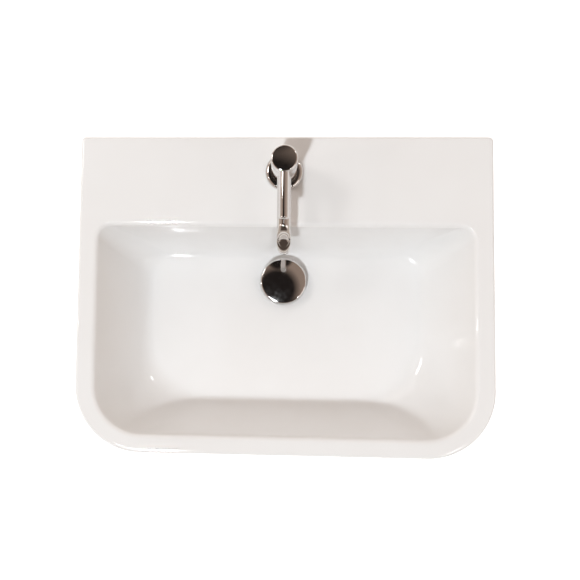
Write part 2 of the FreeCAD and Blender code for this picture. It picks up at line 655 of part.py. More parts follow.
def draw_ports(sketch, inlet_diameter, outlet_diameter):
    draw_inlets(sketch, inlet_diameter)
    draw_circle(sketch, outlet_diameter, y="outlet_behind")


def build_base_seal():
    body = add_body("tap_base_seal", TAP)
    outer = "base_ring_diameter - 2 * base_seal_thickness"
    inner = "tap_spigot_diameter + 2 * thread_gap"
    revolve(body, "ring", ring_profile(outer, inner, "0", "base_seal_thickness"))


def build_base_ring():
    body = add_body("tap_base_ring", TAP)
    inner = "(tap_body_diameter / 2 + thread_gap)"
    foot = "(tap_foot_diameter / 2 + thread_gap)"
    outer = "base_ring_diameter / 2"
    points = [
        (foot, "base_seal_thickness"),
        (outer, "base_seal_thickness"),
        (outer, "base_ring_top"),
        (inner, "base_ring_top"),
        (inner, "tap_foot_height + thread_gap"),
        (foot, "tap_foot_height + thread_gap"),
    ]
    revolve(body, "ring", points)
    fillet(body, "base_ring_edge", lambda edge: is_ring(edge, "base_ring_diameter", "base_ring_top"))


def build_tap_body():
    body = add_body("tap_body", TAP)
    points = [
        ("0", "-tap_spigot_depth"),
        ("tap_spigot_diameter / 2", "-tap_spigot_depth"),
        ("tap_spigot_diameter / 2", "base_seal_thickness"),
        ("tap_foot_diameter / 2", "base_seal_thickness"),
        ("tap_foot_diameter / 2", "tap_foot_height"),
        ("tap_body_diameter / 2", "tap_foot_height"),
        ("tap_body_diameter / 2", BODY_TOP),
        (f"{NUT_RADIUS} + thread_gap", BODY_TOP),
        (f"{NUT_RADIUS} + thread_gap", HOUSING_TOP),
        ("(cartridge_diameter + cartridge_gap) / 2", HOUSING_TOP),
        ("(cartridge_diameter + cartridge_gap) / 2", "cartridge_seat"),
        ("0", "cartridge_seat"),
    ]
    revolve(body, "turned", points)
    socket = add_sketch(body, "spout_socket", "XZ_Plane", lift="spout_socket_start")
    draw_circle(socket, "spout_diameter + 2 * thread_gap", y=SPOUT_HEIGHT)
    pocket(body, socket, "tap_body_diameter", upwards=True)
    outlet = add_sketch(body, "outlet", lift="cartridge_seat")
    draw_circle(outlet, "outlet_diameter", y="outlet_behind")
    pocket(body, outlet, f"cartridge_seat - {SPOUT_HEIGHT}")
    way = add_sketch(body, "waterway", "XZ_Plane", lift="-outlet_behind")
    draw_circle(way, "waterway_diameter", y=SPOUT_HEIGHT)
    pocket(body, way, "outlet_behind + spout_socket_start", upwards=True)
    ports = add_sketch(body, "ports", lift="cartridge_seat")
    draw_inlets(ports, "port_diameter")
    pocket(body, ports, "cartridge_seat + tap_spigot_depth")
    threads = add_sketch(body, "inlet_threads", lift="-tap_spigot_depth")
    draw_inlets(threads, "inlet_diameter")
    pocket(body, threads, "inlet_depth", upwards=True)
    stud_hole = add_sketch(body, "stud_hole", lift="-tap_spigot_depth")
    draw_circle(stud_hole, "tap_stud_diameter + 2 * thread_gap", y="tap_stud_setback")
    pocket(body, stud_hole, "tap_stud_engagement", upwards=True)


def build_spout():
    """A bent tube: straight out of its socket, a quarter turn down and a short straight end."""
    body = add_body("spout", TAP)
    path = add_sketch(body, "path", "YZ_Plane")
    start, reach = number("spout_socket_start"), number("spout_reach")
    radius, height = number("spout_bend_radius"), number(SPOUT_HEIGHT)
    low = number(OUTLET_HEIGHT)
    point = FreeCAD.Vector
    turn = point(-reach + radius, height, 0)
    corner = point(-reach, height - radius, 0)
    centre = point(-reach + radius, height - radius, 0)
    circle = Part.Circle(centre, point(0, 0, 1), radius)
    path.addGeometry(Part.LineSegment(point(-start, height, 0), turn), False)
    path.addGeometry(Part.ArcOfCircle(circle, QUARTER, 2 * QUARTER), False)
    path.addGeometry(Part.LineSegment(corner, point(-reach, low, 0)), False)
    path.addConstraint(Sketcher.Constraint("Tangent", 0, 2, 1, 1))
    path.addConstraint(Sketcher.Constraint("Tangent", 1, 2, 2, 1))
    path.addConstraint(Sketcher.Constraint("Horizontal", 0))
    path.addConstraint(Sketcher.Constraint("Vertical", 2))
    rule = path.addConstraint(Sketcher.Constraint("Radius", 1, radius))
    bind(path, f"Constraints[{rule}]", "spout_bend_radius")
    fix(path, "DistanceX", 0, 1, "-spout_socket_start")
    fix(path, "DistanceY", 0, 1, SPOUT_HEIGHT)
    fix(path, "DistanceX", 2, 2, "-spout_reach")
    fix(path, "DistanceY", 2, 2, OUTLET_HEIGHT)
    section = add_sketch(body, "section", "XZ_Plane", lift="spout_socket_start")
    draw_circle(section, "spout_diameter", y=SPOUT_HEIGHT)
    draw_circle(section, "spout_bore", y=SPOUT_HEIGHT)
    tube = body.newObject("PartDesign::AdditivePipe", "spout_tube")
    tube.Profile = section
    tube.Spine = (path, ["Edge1", "Edge2", "Edge3"])
    finish_feature(body, tube)
    seat = add_sketch(body, "aerator_seat", lift=OUTLET_HEIGHT)
    draw_circle(seat, "aerator_diameter", y="-spout_reach")
    pocket(body, seat, "aerator_height", upwards=True)


def build_aerator():
    """A threaded ring in the spout's end, with a perforated disc inside that straightens the jet."""
    outlet = ("0", "-tap_setback - spout_reach", f"rim_above_fixings + {OUTLET_HEIGHT}")
    ring = add_body("aerator_ring", outlet)
    inner = "aerator_diameter - 2 * aerator_wall"
    outer = "aerator_diameter - 2 * thread_gap"
    top = "aerator_height - thread_gap"
    revolve(ring, "turned", ring_profile(outer, inner, "thread_gap", top))
    disc = add_body("flow_straightener", outlet)
    low = "aerator_height - straightener_thickness"
    rim = f"{inner} - 2 * thread_gap"
    revolve(disc, "turned", ring_profile(rim, "straightener_hole", low, top))
    hole = add_sketch(disc, "hole", lift=low)
    draw_circle(hole, "straightener_hole", x="straightener_circle / 2")
    drilled = pocket(disc, hole, "straightener_thickness", upwards=True)
    polar(disc, drilled, "straightener_count")


# ---------------------------------------------------------------- tap: cartridge
def build_cartridge_base():
    body = add_body("cartridge_base", TAP)
    round_base = add_sketch(body, "round", lift=CARTRIDGE_BASE_LOW)
    draw_circle(round_base, "cartridge_diameter - cartridge_gap")
    draw_ports(round_base, "port_diameter", "outlet_diameter")
    pad(body, round_base, f"{FIXED_DISC_LOW} - {CARTRIDGE_BASE_LOW}")
    grooves = add_sketch(body, "grooves", lift=CARTRIDGE_BASE_LOW)
    wide = "+ 2 * (port_seal_width + 2 * thread_gap)"
    draw_ports(grooves, f"port_diameter {wide}", f"outlet_diameter {wide}")
    pocket(body, grooves, "port_seal_depth", upwards=True)


def build_port_seals():
    """Three O-rings in the base's grooves, pressed on the body's seat."""
    body = add_body("cartridge_port_seals", TAP)
    rings = add_sketch(body, "rings", lift="cartridge_seat")
    inner = "+ 2 * thread_gap"
    outer = "+ 2 * (port_seal_width + thread_gap)"
    draw_ports(rings, f"port_diameter {inner}", f"outlet_diameter {inner}")
    draw_ports(rings, f"port_diameter {outer}", f"outlet_diameter {outer}")
    pad(body, rings, "port_seal_proud + port_seal_depth")


def build_discs():
    fixed = add_body("fixed_disc", TAP)
    plate = add_sketch(fixed, "plate", lift=FIXED_DISC_LOW)
    draw_circle(plate, FIXED_DISC_DIAMETER)
    draw_ports(plate, "port_diameter", "outlet_diameter")
    pad(fixed, plate, "disc_thickness")
    moving = add_body("moving_disc", TAP)
    plate = add_sketch(moving, "plate", lift=MOVING_DISC_LOW)
    draw_circle(plate, MOVING_DISC_DIAMETER)
    pad(moving, plate, "disc_thickness")
    chamber = add_sketch(moving, "chamber", lift=MOVING_DISC_LOW)
    draw_circle(chamber, "disc_pocket_diameter", y="disc_pocket_behind")
    pocket(moving, chamber, "disc_pocket_depth", upwards=True)
    slot = add_sketch(moving, "slot", lift=MOVING_DISC_TOP)
    half = "disc_slot_size / 2"
    draw_box(slot, f"-{half}", half, f"-{half}", half)
    pocket(moving, slot, "disc_slot_depth")


def build_housing():
    body = add_body("cartridge_housing", TAP)
    outer, inner = "cartridge_diameter / 2", f"{HOUSING_BORE} / 2"
    ceiling = f"{CARRIER_TOP} + disc_gap"
    points = [
        (inner, FIXED_DISC_LOW),
        (outer, FIXED_DISC_LOW),
        (outer, HOUSING_TOP),
        ("housing_mouth_diameter / 2", HOUSING_TOP),
        ("housing_mouth_diameter / 2", ceiling),
        (inner, ceiling),
    ]
    revolve(body, "turned", points)


def build_carrier():
    """The guide that turns in the housing with the spindle and its pin."""
    body = add_body("cartridge_carrier", TAP)
    block = add_sketch(body, "round", lift=CARRIER_LOW)
    draw_circle(block, CARRIER_DIAMETER)
    pad(body, block, CARRIER_HEIGHT)
    slot = add_sketch(body, "slot", lift=CARRIER_LOW)
    half = "(spindle_size / 2 + spindle_gap)"
    draw_box(slot, f"-{half}", half, "-spindle_slot_length / 2", "spindle_slot_length / 2")
    pocket(body, slot, CARRIER_HEIGHT, upwards=True)
    pin_hole = add_sketch(body, "pin_hole", "YZ_Plane")
    draw_circle(pin_hole, "pivot_pin_diameter", y=PIVOT_HEIGHT)
    pocket(body, pin_hole, PIN_LENGTH, symmetric=True)


def build_pivot_pin():
    body = add_body("lever_pivot_pin", TAP)
    pin = add_sketch(body, "round", "YZ_Plane")
    draw_circle(pin, "pivot_pin_diameter", y=PIVOT_HEIGHT)
    pad(body, pin, PIN_LENGTH, symmetric=True)


def build_cartridge_nut():
    body = add_body("cartridge_nut", TAP)
    mouth = "housing_mouth_diameter / 2"
    dome_top = f"{BODY_TOP} + cartridge_nut_dome"
    points = [
        (mouth, HOUSING_TOP),
        (NUT_RADIUS, HOUSING_TOP),
        (NUT_RADIUS, BODY_TOP),
        (f"{mouth} + cartridge_nut_flat", dome_top),
        (mouth, dome_top),
    ]
    revolve(body, "turned", points)


# ---------------------------------------------------------------- tap: lever
def build_spindle():
    body = add_body("lever_spindle", TAP)
    half = "spindle_size / 2"
    foot = f"({PIVOT_HEIGHT} - {half})"
    square = add_sketch(body, "square", lift=foot)
    draw_box(square, f"-{half}", half, f"-{half}", half)
    pad(body, square, f"{SPINDLE_TOP} - {foot}")
    # short enough for its lower edge to clear the slot's bottom however far the spindle tilts
    swing = f"{PIVOT_HEIGHT} - {MOVING_DISC_TOP} + disc_slot_depth - spindle_gap"
    nose_end = f"sqrt(pow({swing}; 2) - pow(spindle_nose_diameter / 2; 2))"
    nose = add_sketch(body, "nose", lift=foot)
    draw_circle(nose, "spindle_nose_diameter")
    pad(body, nose, f"{nose_end} - {half}", downwards=True)
    pin_hole = add_sketch(body, "pin_hole", "YZ_Plane")
    draw_circle(pin_hole, "pivot_pin_diameter + 2 * pivot_gap", y=PIVOT_HEIGHT)
    pocket(body, pin_hole, "2 * spindle_size", symmetric=True)


def build_handle_cap():
    body = add_body("handle_cap", TAP)
    outer = "tap_body_diameter / 2"
    cavity = f"({outer} - cap_wall)"
    points = [
        ("0", CAP_CEILING),
        (cavity, CAP_CEILING),
        (cavity, CAP_LOW),
        (outer, CAP_LOW),
        (outer, CAP_TOP),
        ("0", CAP_TOP),
    ]
    revolve(body, "turned", points)
    fillet(body, "cap_edge_radius", lambda edge: is_ring(edge, "tap_body_diameter", CAP_TOP))
    # a wedge off the back of the cap's foot lets it tip back over the body as the lever lifts
    relief = add_sketch(body, "relief", "YZ_Plane")
    level = f"({PIVOT_HEIGHT} + ({BODY_TOP} - {PIVOT_HEIGHT}) / cos(lift_range) + cap_gap / 2)"
    points = [
        ("0", f"{CAP_LOW} - cap_gap"),
        ("tap_body_diameter", f"{CAP_LOW} - cap_gap"),
        ("tap_body_diameter", f"{level} + tap_body_diameter * tan(lift_range)"),
        ("0", level),
    ]
    draw_polygon(relief, points)
    pocket(body, relief, "2 * tap_body_diameter", symmetric=True)
    square = add_sketch(body, "spindle_socket", lift=CAP_CEILING)
    half = "(spindle_size + spindle_gap) / 2"
    draw_box(square, f"-{half}", half, f"-{half}", half)
    pocket(body, square, f"{SPINDLE_TOP} - {CAP_CEILING} + spindle_gap", upwards=True)
    seat = add_sketch(body, "lever_seat", "XZ_Plane", lift=LEVER_SEAT)
    draw_circle(seat, "lever_diameter + 2 * thread_gap", y=LEVER_HEIGHT)
    pocket(body, seat, "tap_body_diameter", upwards=True)
    tenon = add_sketch(body, "lever_tenon", "XZ_Plane", lift=TENON_START)
    draw_circle(tenon, "lever_tenon_diameter + 2 * thread_gap", y=LEVER_HEIGHT)
    pocket(body, tenon, "tap_body_diameter", upwards=True)
    grub = add_sketch(body, "grub_hole", "XZ_Plane")
    draw_circle(grub, "grub_diameter + 2 * thread_gap", y=GRUB_HEIGHT)
    pocket(body, grub, "tap_body_diameter")
    cover = add_sketch(body, "cover_seat", "XZ_Plane", lift="-tap_body_diameter / 2 + grub_cover_depth")
    draw_circle(cover, "grub_cover_diameter + 2 * thread_gap", y=GRUB_HEIGHT)
    pocket(body, cover, "tap_body_diameter")


def build_lever_rod():
    body = add_body("lever_rod", TAP)
    rod = add_sketch(body, "rod", "XZ_Plane", lift=LEVER_SEAT)
    draw_circle(rod, "lever_diameter", y=LEVER_HEIGHT)
    pad(body, rod, f"lever_reach - {LEVER_SEAT}")
    tip = number("-lever_reach")
    fillet(body, "lever_tip_radius", lambda edge: abs(edge.BoundBox.YMax - tip) < NEAR)
    tenon = add_sketch(body, "tenon", "XZ_Plane", lift=TENON_START)
    draw_circle(tenon, "lever_tenon_diameter", y=LEVER_HEIGHT)
    pad(body, tenon, "lever_tenon_length")


def build_grub_screw():
    screw = add_body("handle_grub_screw", TAP)
    shank = add_sketch(screw, "shank", "XZ_Plane", lift="-spindle_size / 2")
    draw_circle(shank, "grub_diameter", y=GRUB_HEIGHT)
    pad(screw, shank, f"{GRUB_END} - spindle_size / 2", downwards=True)
    key = add_sketch(screw, "key", "XZ_Plane", lift=f"-{GRUB_END}")
    draw_hexagon(key, "grub_diameter / 2", y=GRUB_HEIGHT)
    pocket(screw, key, "grub_diameter / 2", upwards=True)
    cover = add_body("grub_screw_cover", TAP)
    disc = add_sketch(cover, "disc", "XZ_Plane", lift="-tap_body_diameter / 2 + grub_cover_depth")
    draw_circle(disc, "grub_cover_diameter", y=GRUB_HEIGHT)
    pad(cover, disc, "grub_cover_depth - 4 * thread_gap", downwards=True)


# ---------------------------------------------------------------- tap: fixings under the deck
def draw_horseshoe(sketch):
    """A round plate with a slot from the front for the hoses and a hole for the stud."""
    radius, half = number("horseshoe_diameter / 2"), number("horseshoe_slot / 2")
    end = number("horseshoe_slot_end")
    point = FreeCAD.Vector
    up = point(0, 0, 1)
    reach = (radius**2 - half**2) ** 0.5
    ring = Part.Circle(point(0, 0, 0), up, radius)
    left, right = point(-half, -reach, 0), point(half, -reach, 0)
    start, stop = ring.parameter(right), ring.parameter(left)
    sketch.addGeometry(Part.ArcOfCircle(ring, start - 4 * QUARTER, stop), False)
    sketch.addGeometry(Part.LineSegment(left, point(-half, end, 0)), False)
    sketch.addGeometry(Part.LineSegment(point(-half, end, 0), point(half, end, 0)), False)
    sketch.addGeometry(Part.LineSegment(point(half, end, 0), right), False)
    sketch.addConstraint(Sketcher.Constraint("Coincident", 0, 2, 1, 1))
    sketch.addConstraint(Sketcher.Constraint("Coincident", 1, 2, 2, 1))
    sketch.addConstraint(Sketcher.Constraint("Coincident", 2, 2, 3, 1))
    sketch.addConstraint(Sketcher.Constraint("Coincident", 3, 2, 0, 1))
    sketch.addConstraint(Sketcher.Constraint("Coincident", 0, 3, -1, 1))
    sketch.addConstraint(Sketcher.Constraint("Vertical", 1))
    sketch.addConstraint(Sketcher.Constraint("Horizontal", 2))
    sketch.addConstraint(Sketcher.Constraint("Vertical", 3))
    rule = sketch.addConstraint(Sketcher.Constraint("Radius", 0, radius))
    bind(sketch, f"Constraints[{rule}]", "horseshoe_diameter / 2")
    fix(sketch, "DistanceX", 2, 1, "-horseshoe_slot / 2")
    fix(sketch, "DistanceX", 2, 2, "horseshoe_slot / 2")
    fix(sketch, "DistanceY", 2, 1, "horseshoe_slot_end")
    draw_circle(sketch, "tap_stud_diameter + horseshoe_stud_gap", y="tap_stud_setback")


def build_deck_fixings():
    gasket = add_body("deck_gasket", TAP)
    plate = add_sketch(gasket, "plate", lift="-deck_thickness")
    draw_horseshoe(plate)
    pad(gasket, plate, "deck_gasket_thickness", downwards=True)
    washer = add_body("deck_washer", TAP)
    washer_top = "(-deck_thickness - deck_gasket_thickness)"
    plate = add_sketch(washer, "plate", lift=washer_top)
    draw_horseshoe(plate)
    pad(washer, plate, "deck_washer_thickness", downwards=True)
    nut_top = f"({washer_top} - deck_washer_thickness)"
    nut = add_body("tap_nut", ("0", "-tap_setback + tap_stud_setback", "rim_above_fixings"))
    hexagon = add_sketch(nut, "hexagon", lift=nut_top)
    draw_hexagon(hexagon, "tap_nut_flats")
    draw_circle(hexagon, "tap_stud_diameter + 2 * thread_gap")
    pad(nut, hexagon, "tap_nut_height", downwards=True)
    stud = add_body("tap_stud", ("0", "-tap_setback + tap_stud_setback", "rim_above_fixings"))
    shank = add_sketch(stud, "shank", lift="tap_stud_engagement - tap_spigot_depth")
    draw_circle(shank, "tap_stud_diameter")
    pad(stud, shank, "tap_stud_length", downwards=True)


# ---------------------------------------------------------------- waste
FLANGE_TOP = "(flange_seal_thickness + flange_thickness)"
GUIDE_FLOOR = "(-spider_top + guide_floor)"
GUIDE_CEILING = "(guide_top - guide_lip)"
COLLAR_TOP = f"({GUIDE_CEILING} - plunger_gap)"
COLLAR_LOW = f"({COLLAR_TOP} - plunger_collar_height)"
PLUG_LOW = f"({FLANGE_TOP} + plug_travel + plug_stop_gap)"
GASKET_TOP = "(-boss_height)"
GASKET_LOW = f"({GASKET_TOP} - waste_gasket_thickness)"
SLIP_WASHER_LOW = f"({GASKET_LOW} - slip_washer_thickness)"
BACK_NUT_LOW = f"({SLIP_WASHER_LOW} - back_nut_height)"


def build_waste_body():
    """Flange, threaded tail and the cross inside it that carries the plug's guide, in one piece."""
    body = add_body("waste_body", WASTE)
    points = [
        ("tail_bore / 2", "-tail_length"),
        ("tail_diameter / 2", "-tail_length"),
        ("tail_diameter / 2", f"{BACK_NUT_LOW} - tail_groove_height"),
        ("tail_diameter / 2 - tail_groove_depth", f"{BACK_NUT_LOW} - tail_groove_height"),
        ("tail_diameter / 2 - tail_groove_depth", BACK_NUT_LOW),
        ("tail_diameter / 2", BACK_NUT_LOW),
        ("tail_diameter / 2", "flange_seal_thickness"),
        ("flange_diameter / 2", "flange_seal_thickness"),
        ("flange_diameter / 2", FLANGE_TOP),
        ("flange_dish_diameter / 2", FLANGE_TOP),
        ("tail_bore / 2", f"{FLANGE_TOP} - flange_dish_depth"),
    ]
    revolve(body, "turned", points)
    fillet(body, "flange_thickness / 2", lambda edge: is_ring(edge, "flange_diameter", FLANGE_TOP))
    slot = add_sketch(body, "slot", "XZ_Plane")
    low = "-overflow_slot_top - overflow_slot_height"
    draw_box(slot, "-overflow_slot_width / 2", "overflow_slot_width / 2", low, "-overflow_slot_top")
    polar(body, pocket(body, slot, "tail_diameter"), "overflow_slot_count")
    hub = add_sketch(body, "hub", lift="-spider_top")
    draw_circle(hub, "spider_hub_diameter")
    pad(body, hub, "spider_height", downwards=True)
    # the arms end in the middle of the tail's wall, between its slots
    reach = "(tail_bore + tail_diameter) / 4 * cos(45)"
    wide = "spider_arm / 2 * cos(45)"
    for name, turn in (("arms", "1"), ("arms_across", "-1")):
        arms = add_sketch(body, name, lift="-spider_top")
        points = [
            (f"{reach} + {wide}", f"{turn} * ({reach} - {wide})"),
            (f"{reach} - {wide}", f"{turn} * ({reach} + {wide})"),
            (f"-{reach} - {wide}", f"-{turn} * ({reach} - {wide})"),
            (f"-{reach} + {wide}", f"-{turn} * ({reach} + {wide})"),
        ]
        draw_polygon(arms, points)
        pad(body, arms, "spider_height", downwards=True)
    bore = add_sketch(body, "guide_bore", lift="-spider_top")
    draw_circle(bore, "guide_spigot_diameter + 2 * thread_gap")
    pocket(body, bore, "spider_height")


def build_waste_seals():
    seal = add_body("waste_flange_seal", WASTE)
    outer = "flange_diameter - 2 * flange_seal_thickness"
    revolve(seal, "ring", ring_profile(outer, "waste_hole_diameter", "0", "flange_seal_thickness"))
    inner = "tail_diameter + 2 * thread_gap"
    gasket = add_body("waste_gasket", WASTE)
    revolve(gasket, "ring", ring_profile("waste_gasket_diameter", inner, GASKET_LOW, GASKET_TOP))
    washer = add_body("waste_slip_washer", WASTE)
    revolve(washer, "ring", ring_profile("slip_washer_diameter", inner, SLIP_WASHER_LOW, GASKET_LOW))
    nut = add_body("waste_back_nut", WASTE)
    hexagon = add_sketch(nut, "hexagon", lift=SLIP_WASHER_LOW)
    draw_hexagon(hexagon, "back_nut_flats")
    draw_circle(hexagon, inner)
    pad(nut, hexagon, "back_nut_height", downwards=True)


def build_plug_guide():
    body = add_body("plug_guide", WASTE)
    spigot, outer = "guide_spigot_diameter / 2", "guide_diameter / 2"
    bore = "(plunger_collar_diameter + plunger_gap) / 2"
    mouth = "(plunger_diameter + 2 * plunger_gap) / 2"
    points = [
        ("0", "-spider_top - spider_height"),
        (spigot, "-spider_top - spider_height"),
        (spigot, "-spider_top"),
        (outer, "-spider_top"),
        (outer, "guide_top"),
        (mouth, "guide_top"),
        (mouth, GUIDE_CEILING),
        (bore, GUIDE_CEILING),
        (bore, GUIDE_FLOOR),
        ("0", GUIDE_FLOOR),
    ]
    revolve(body, "turned", points)


def build_plunger():
    body = add_body("plug_plunger", WASTE)
    collar, rod = "plunger_collar_diameter / 2", "plunger_diameter / 2"
    points = [
        ("0", COLLAR_LOW),
        (collar, COLLAR_LOW),
        (collar, COLLAR_TOP),
        (rod, COLLAR_TOP),
        (rod, f"{PLUG_LOW} + plug_edge_height / 2"),
        ("0", f"{PLUG_LOW} + plug_edge_height / 2"),
    ]
    revolve(body, "turned", points)


def build_plug():
    body = add_body("waste_plug", WASTE)
    hole = "(plunger_diameter / 2 + thread_gap)"
    roof = f"{PLUG_LOW} + plug_edge_height / 2 + thread_gap"
    points = [
        ("0", roof),
        (hole, roof),
        (hole, f"{PLUG_LOW} - plug_socket_depth"),
        ("plug_socket_diameter / 2", f"{PLUG_LOW} - plug_socket_depth"),
        ("plug_socket_diameter / 2", PLUG_LOW),
        ("plug_diameter / 2", PLUG_LOW),
        ("plug_diameter / 2", f"{PLUG_LOW} + plug_edge_height"),
        ("0", f"{PLUG_LOW} + plug_edge_height + plug_crown"),
    ]
    revolve(body, "turned", points)
    edge_top = f"{PLUG_LOW} + plug_edge_height"
    fillet(body, "plug_edge_radius", lambda edge: is_ring(edge, "plug_diameter", edge_top))
    fillet(body, "plug_edge_radius / 2", lambda edge: is_ring(edge, "plug_diameter", PLUG_LOW))
    seal = add_body("plug_seal", WASTE)
    inner = "plug_seal_diameter - 2 * plug_seal_width"
    low = f"{PLUG_LOW} - plug_seal_thickness"
    revolve(seal, "ring", ring_profile("plug_seal_diameter", inner, low, PLUG_LOW))


def build_plug_spring():
    """A coil spring under the plunger's collar, swept along a helix."""
    helix = doc.addObject("Part::Helix", "plug_spring_path")
    room = f"({COLLAR_LOW} - {GUIDE_FLOOR} - plug_wire - 2 * thread_gap)"
    bind(helix, "Radius", "(plunger_collar_diameter - plug_wire) / 2 - plunger_gap")
    bind(helix, "Pitch", f"{room} / plug_coils")
    bind(helix, "Height", room)
    wire = doc.addObject("Part::Circle", "plug_spring_section")
    bind(wire, "Radius", "plug_wire / 2")
    wire.Placement.Rotation = FreeCAD.Rotation(FreeCAD.Vector(1, 0, 0), 90)
    bind(wire, "Placement.Base.x", "(plunger_collar_diameter - plug_wire) / 2 - plunger_gap")
    doc.recompute()
    coil = doc.addObject("Part::Sweep", "plug_spring")
    coil.Label = "plug_spring"
    coil.Sections = [wire]
    coil.Spine = (helix, ["Edge1"])
    coil.Solid = True
    coil.Frenet = True
    bind(coil, "Placement.Base.y", "-waste_setback")
    bind(coil, "Placement.Base.z", f"{SEAT_HEIGHT} + {GUIDE_FLOOR} + plug_wire / 2 + thread_gap")
    doc.recompute()
    BODIES.append(coil)


build_basin()
build_fixing_bushes()
build_base_seal()
build_base_ring()
build_tap_body()
build_spout()
build_aerator()
build_cartridge_base()
build_port_seals()
build_discs()
build_housing()
build_carrier()
build_pivot_pin()
build_cartridge_nut()
build_spindle()
build_handle_cap()
build_lever_rod()
build_grub_screw()
build_deck_fixings()
build_waste_body()
build_waste_seals()
build_plug_guide()
build_plunger()
build_plug()
build_plug_spring()
doc.recompute()

# ---------------------------------------------------------------- checks and files
for thing in doc.Objects:
    if "Invalid" in thing.State or "Error" in thing.State:
        raise ValueError(f"{thing.Name} did not compute: {thing.State}")
for body in BODIES:
    shape = body.Shape
    if shape.isNull() or not shape.isValid() or not shape.Solids:
        raise ValueError(f"{body.Label} has no valid solid")

os.makedirs("parts", exist_ok=True)
for body in BODIES:
    body.Shape.exportStep(f"parts/{body.Label}.step")
    box = body.Shape.BoundBox
    size = f"{box.XLength:.1f} x {box.YLength:.1f} x {box.ZLength:.1f}"
    print(f"{body.Label}: {len(body.Shape.Solids)} solid(s), {body.Shape.Volume:.0f} mm3, {size}")
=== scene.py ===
import json
import math

import bmesh
import bpy
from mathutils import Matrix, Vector


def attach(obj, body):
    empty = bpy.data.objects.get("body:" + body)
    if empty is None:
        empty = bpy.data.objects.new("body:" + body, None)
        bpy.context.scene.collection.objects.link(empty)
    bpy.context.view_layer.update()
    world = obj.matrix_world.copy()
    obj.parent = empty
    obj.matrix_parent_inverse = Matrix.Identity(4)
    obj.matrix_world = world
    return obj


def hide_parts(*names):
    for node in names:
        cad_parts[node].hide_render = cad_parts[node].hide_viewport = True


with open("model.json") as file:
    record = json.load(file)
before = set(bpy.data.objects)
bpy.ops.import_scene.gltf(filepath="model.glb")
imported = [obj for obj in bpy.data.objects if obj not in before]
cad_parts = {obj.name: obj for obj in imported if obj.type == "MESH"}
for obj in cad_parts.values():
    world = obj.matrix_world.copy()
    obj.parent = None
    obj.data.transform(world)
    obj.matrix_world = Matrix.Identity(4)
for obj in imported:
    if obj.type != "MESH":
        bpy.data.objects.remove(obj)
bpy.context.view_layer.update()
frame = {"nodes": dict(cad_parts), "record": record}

# Sizes in millimetres, as in the CAD model. Heights are over the wall-fixing holes.
MM = 0.001
RIM = 75
HALF_WIDTH, DEPTH = 275, 420
BACK_CORNER, FRONT_CORNER = 6, 88
RIM_EDGE, BOWL_EDGE = 4, 7
APRON = 45
BELLY_HEIGHT, BELLY_SIDE, BELLY_FRONT, BELLY_END = 120, 120, 150, 60
SKIN, DECK, BACK_WALL = 10, 16, 14
BOWL_HALF, BOWL_BACK, BOWL_FRONT, BOWL_DEPTH = 250, -120, -396, 105
BOWL_POWER, FLOOR_FALL = 2.6, 1.5
# how far each wall of the bowl leans in on its way down, and how far it rounds into the floor
SIDE_LEAN, BACK_LEAN, FRONT_LEAN = 30, 14, 16
SIDE_ROUND, BACK_ROUND, FRONT_ROUND = 32, 24, 30
# the bowl's corner radii at the rim, and what they gain on the way down
BOWL_BACK_CORNER, BOWL_FRONT_CORNER = 18, 62
BACK_CORNER_GAIN, FRONT_CORNER_GAIN = 16, 30
WASTE_Y, SEAT = -190, -32.5
BOSS_RADIUS, BOSS_HEIGHT, BOSS_EDGE = 41, 45, 2
HOLE_RADIUS, RECESS_RADIUS, RECESS_EDGE = 23, 33.25, 1.5
OVERFLOW_RADIUS, OVERFLOW_DROP = 8.5, 36
DUCT_WALL, DUCT_HALF, DUCT_SLOPE = 6, 15, 12
FIXING_ASIDE, FIXING_RADIUS = 140, 8
NOTCH_HALF, NOTCH_HEIGHT = 110, 40
TAP_Y, TAP_HOLE = -48, 35
OVERRUN = 5
ROOT, LEVER, PLUG = "root", "lever", "plug"


# ---------------------------------------------------------------- mesh helpers
def add_piece(name, points, faces, body, node=None, slot=None, angle=35):
    """A smooth mesh from points in millimetres; edges sharper than the angle stay crisp."""
    mesh = bpy.data.meshes.new(name)
    mesh.from_pydata([Vector(p) * MM for p in points], [], faces)
    mesh.validate()
    piece = bpy.data.objects.new(name, mesh)
    bpy.context.scene.collection.objects.link(piece)
    finish_mesh(mesh, angle)
    if body:
        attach(piece, body)
    if node:
        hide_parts(node)
    if slot:
        mesh.materials.append(MATERIALS[slot])
    return piece


def finish_mesh(mesh, angle=35):
    shell = bmesh.new()
    shell.from_mesh(mesh)
    bmesh.ops.remove_doubles(shell, verts=shell.verts, dist=1e-6)
    bmesh.ops.recalc_face_normals(shell, faces=shell.faces)
    shell.to_mesh(mesh)
    shell.free()
    mesh.shade_smooth()
    mesh.set_sharp_from_angle(angle=math.radians(angle))


def skin(rings, closed=False):
    """Points and faces of the surface through rings of equal length; closed joins last to first."""
    count = len(rings[0])
    points = [p for ring in rings for p in ring]
    faces = []
    for k in range(len(rings) - (0 if closed else 1)):
        a, b = k * count, (k + 1) % len(rings) * count
        for i in range(count):
            j = (i + 1) % count
            faces.append((a + i, b + i, b + j, a + j))
    return points, faces


def round_corners(corners, steps=6):
    """A closed polyline with each corner (x, y, radius) turned into an arc."""
    line = []
    count = len(corners)
    for k, (x, y, radius) in enumerate(corners):
        here = Vector((x, y))
        if not radius:
            line.append(here)
            continue
        before = (Vector(corners[k - 1][:2]) - here).normalized()
        after = (Vector(corners[(k + 1) % count][:2]) - here).normalized()
        half = before.angle(after) / 2
        reach = radius / math.tan(half)
        centre = here + (before + after).normalized() * radius / math.sin(half)
        start, end = here + before * reach - centre, here + after * reach - centre
        for step in range(steps + 1):
            share = step / steps
            line.append(centre + start.lerp(end, share).normalized() * radius)
    return line


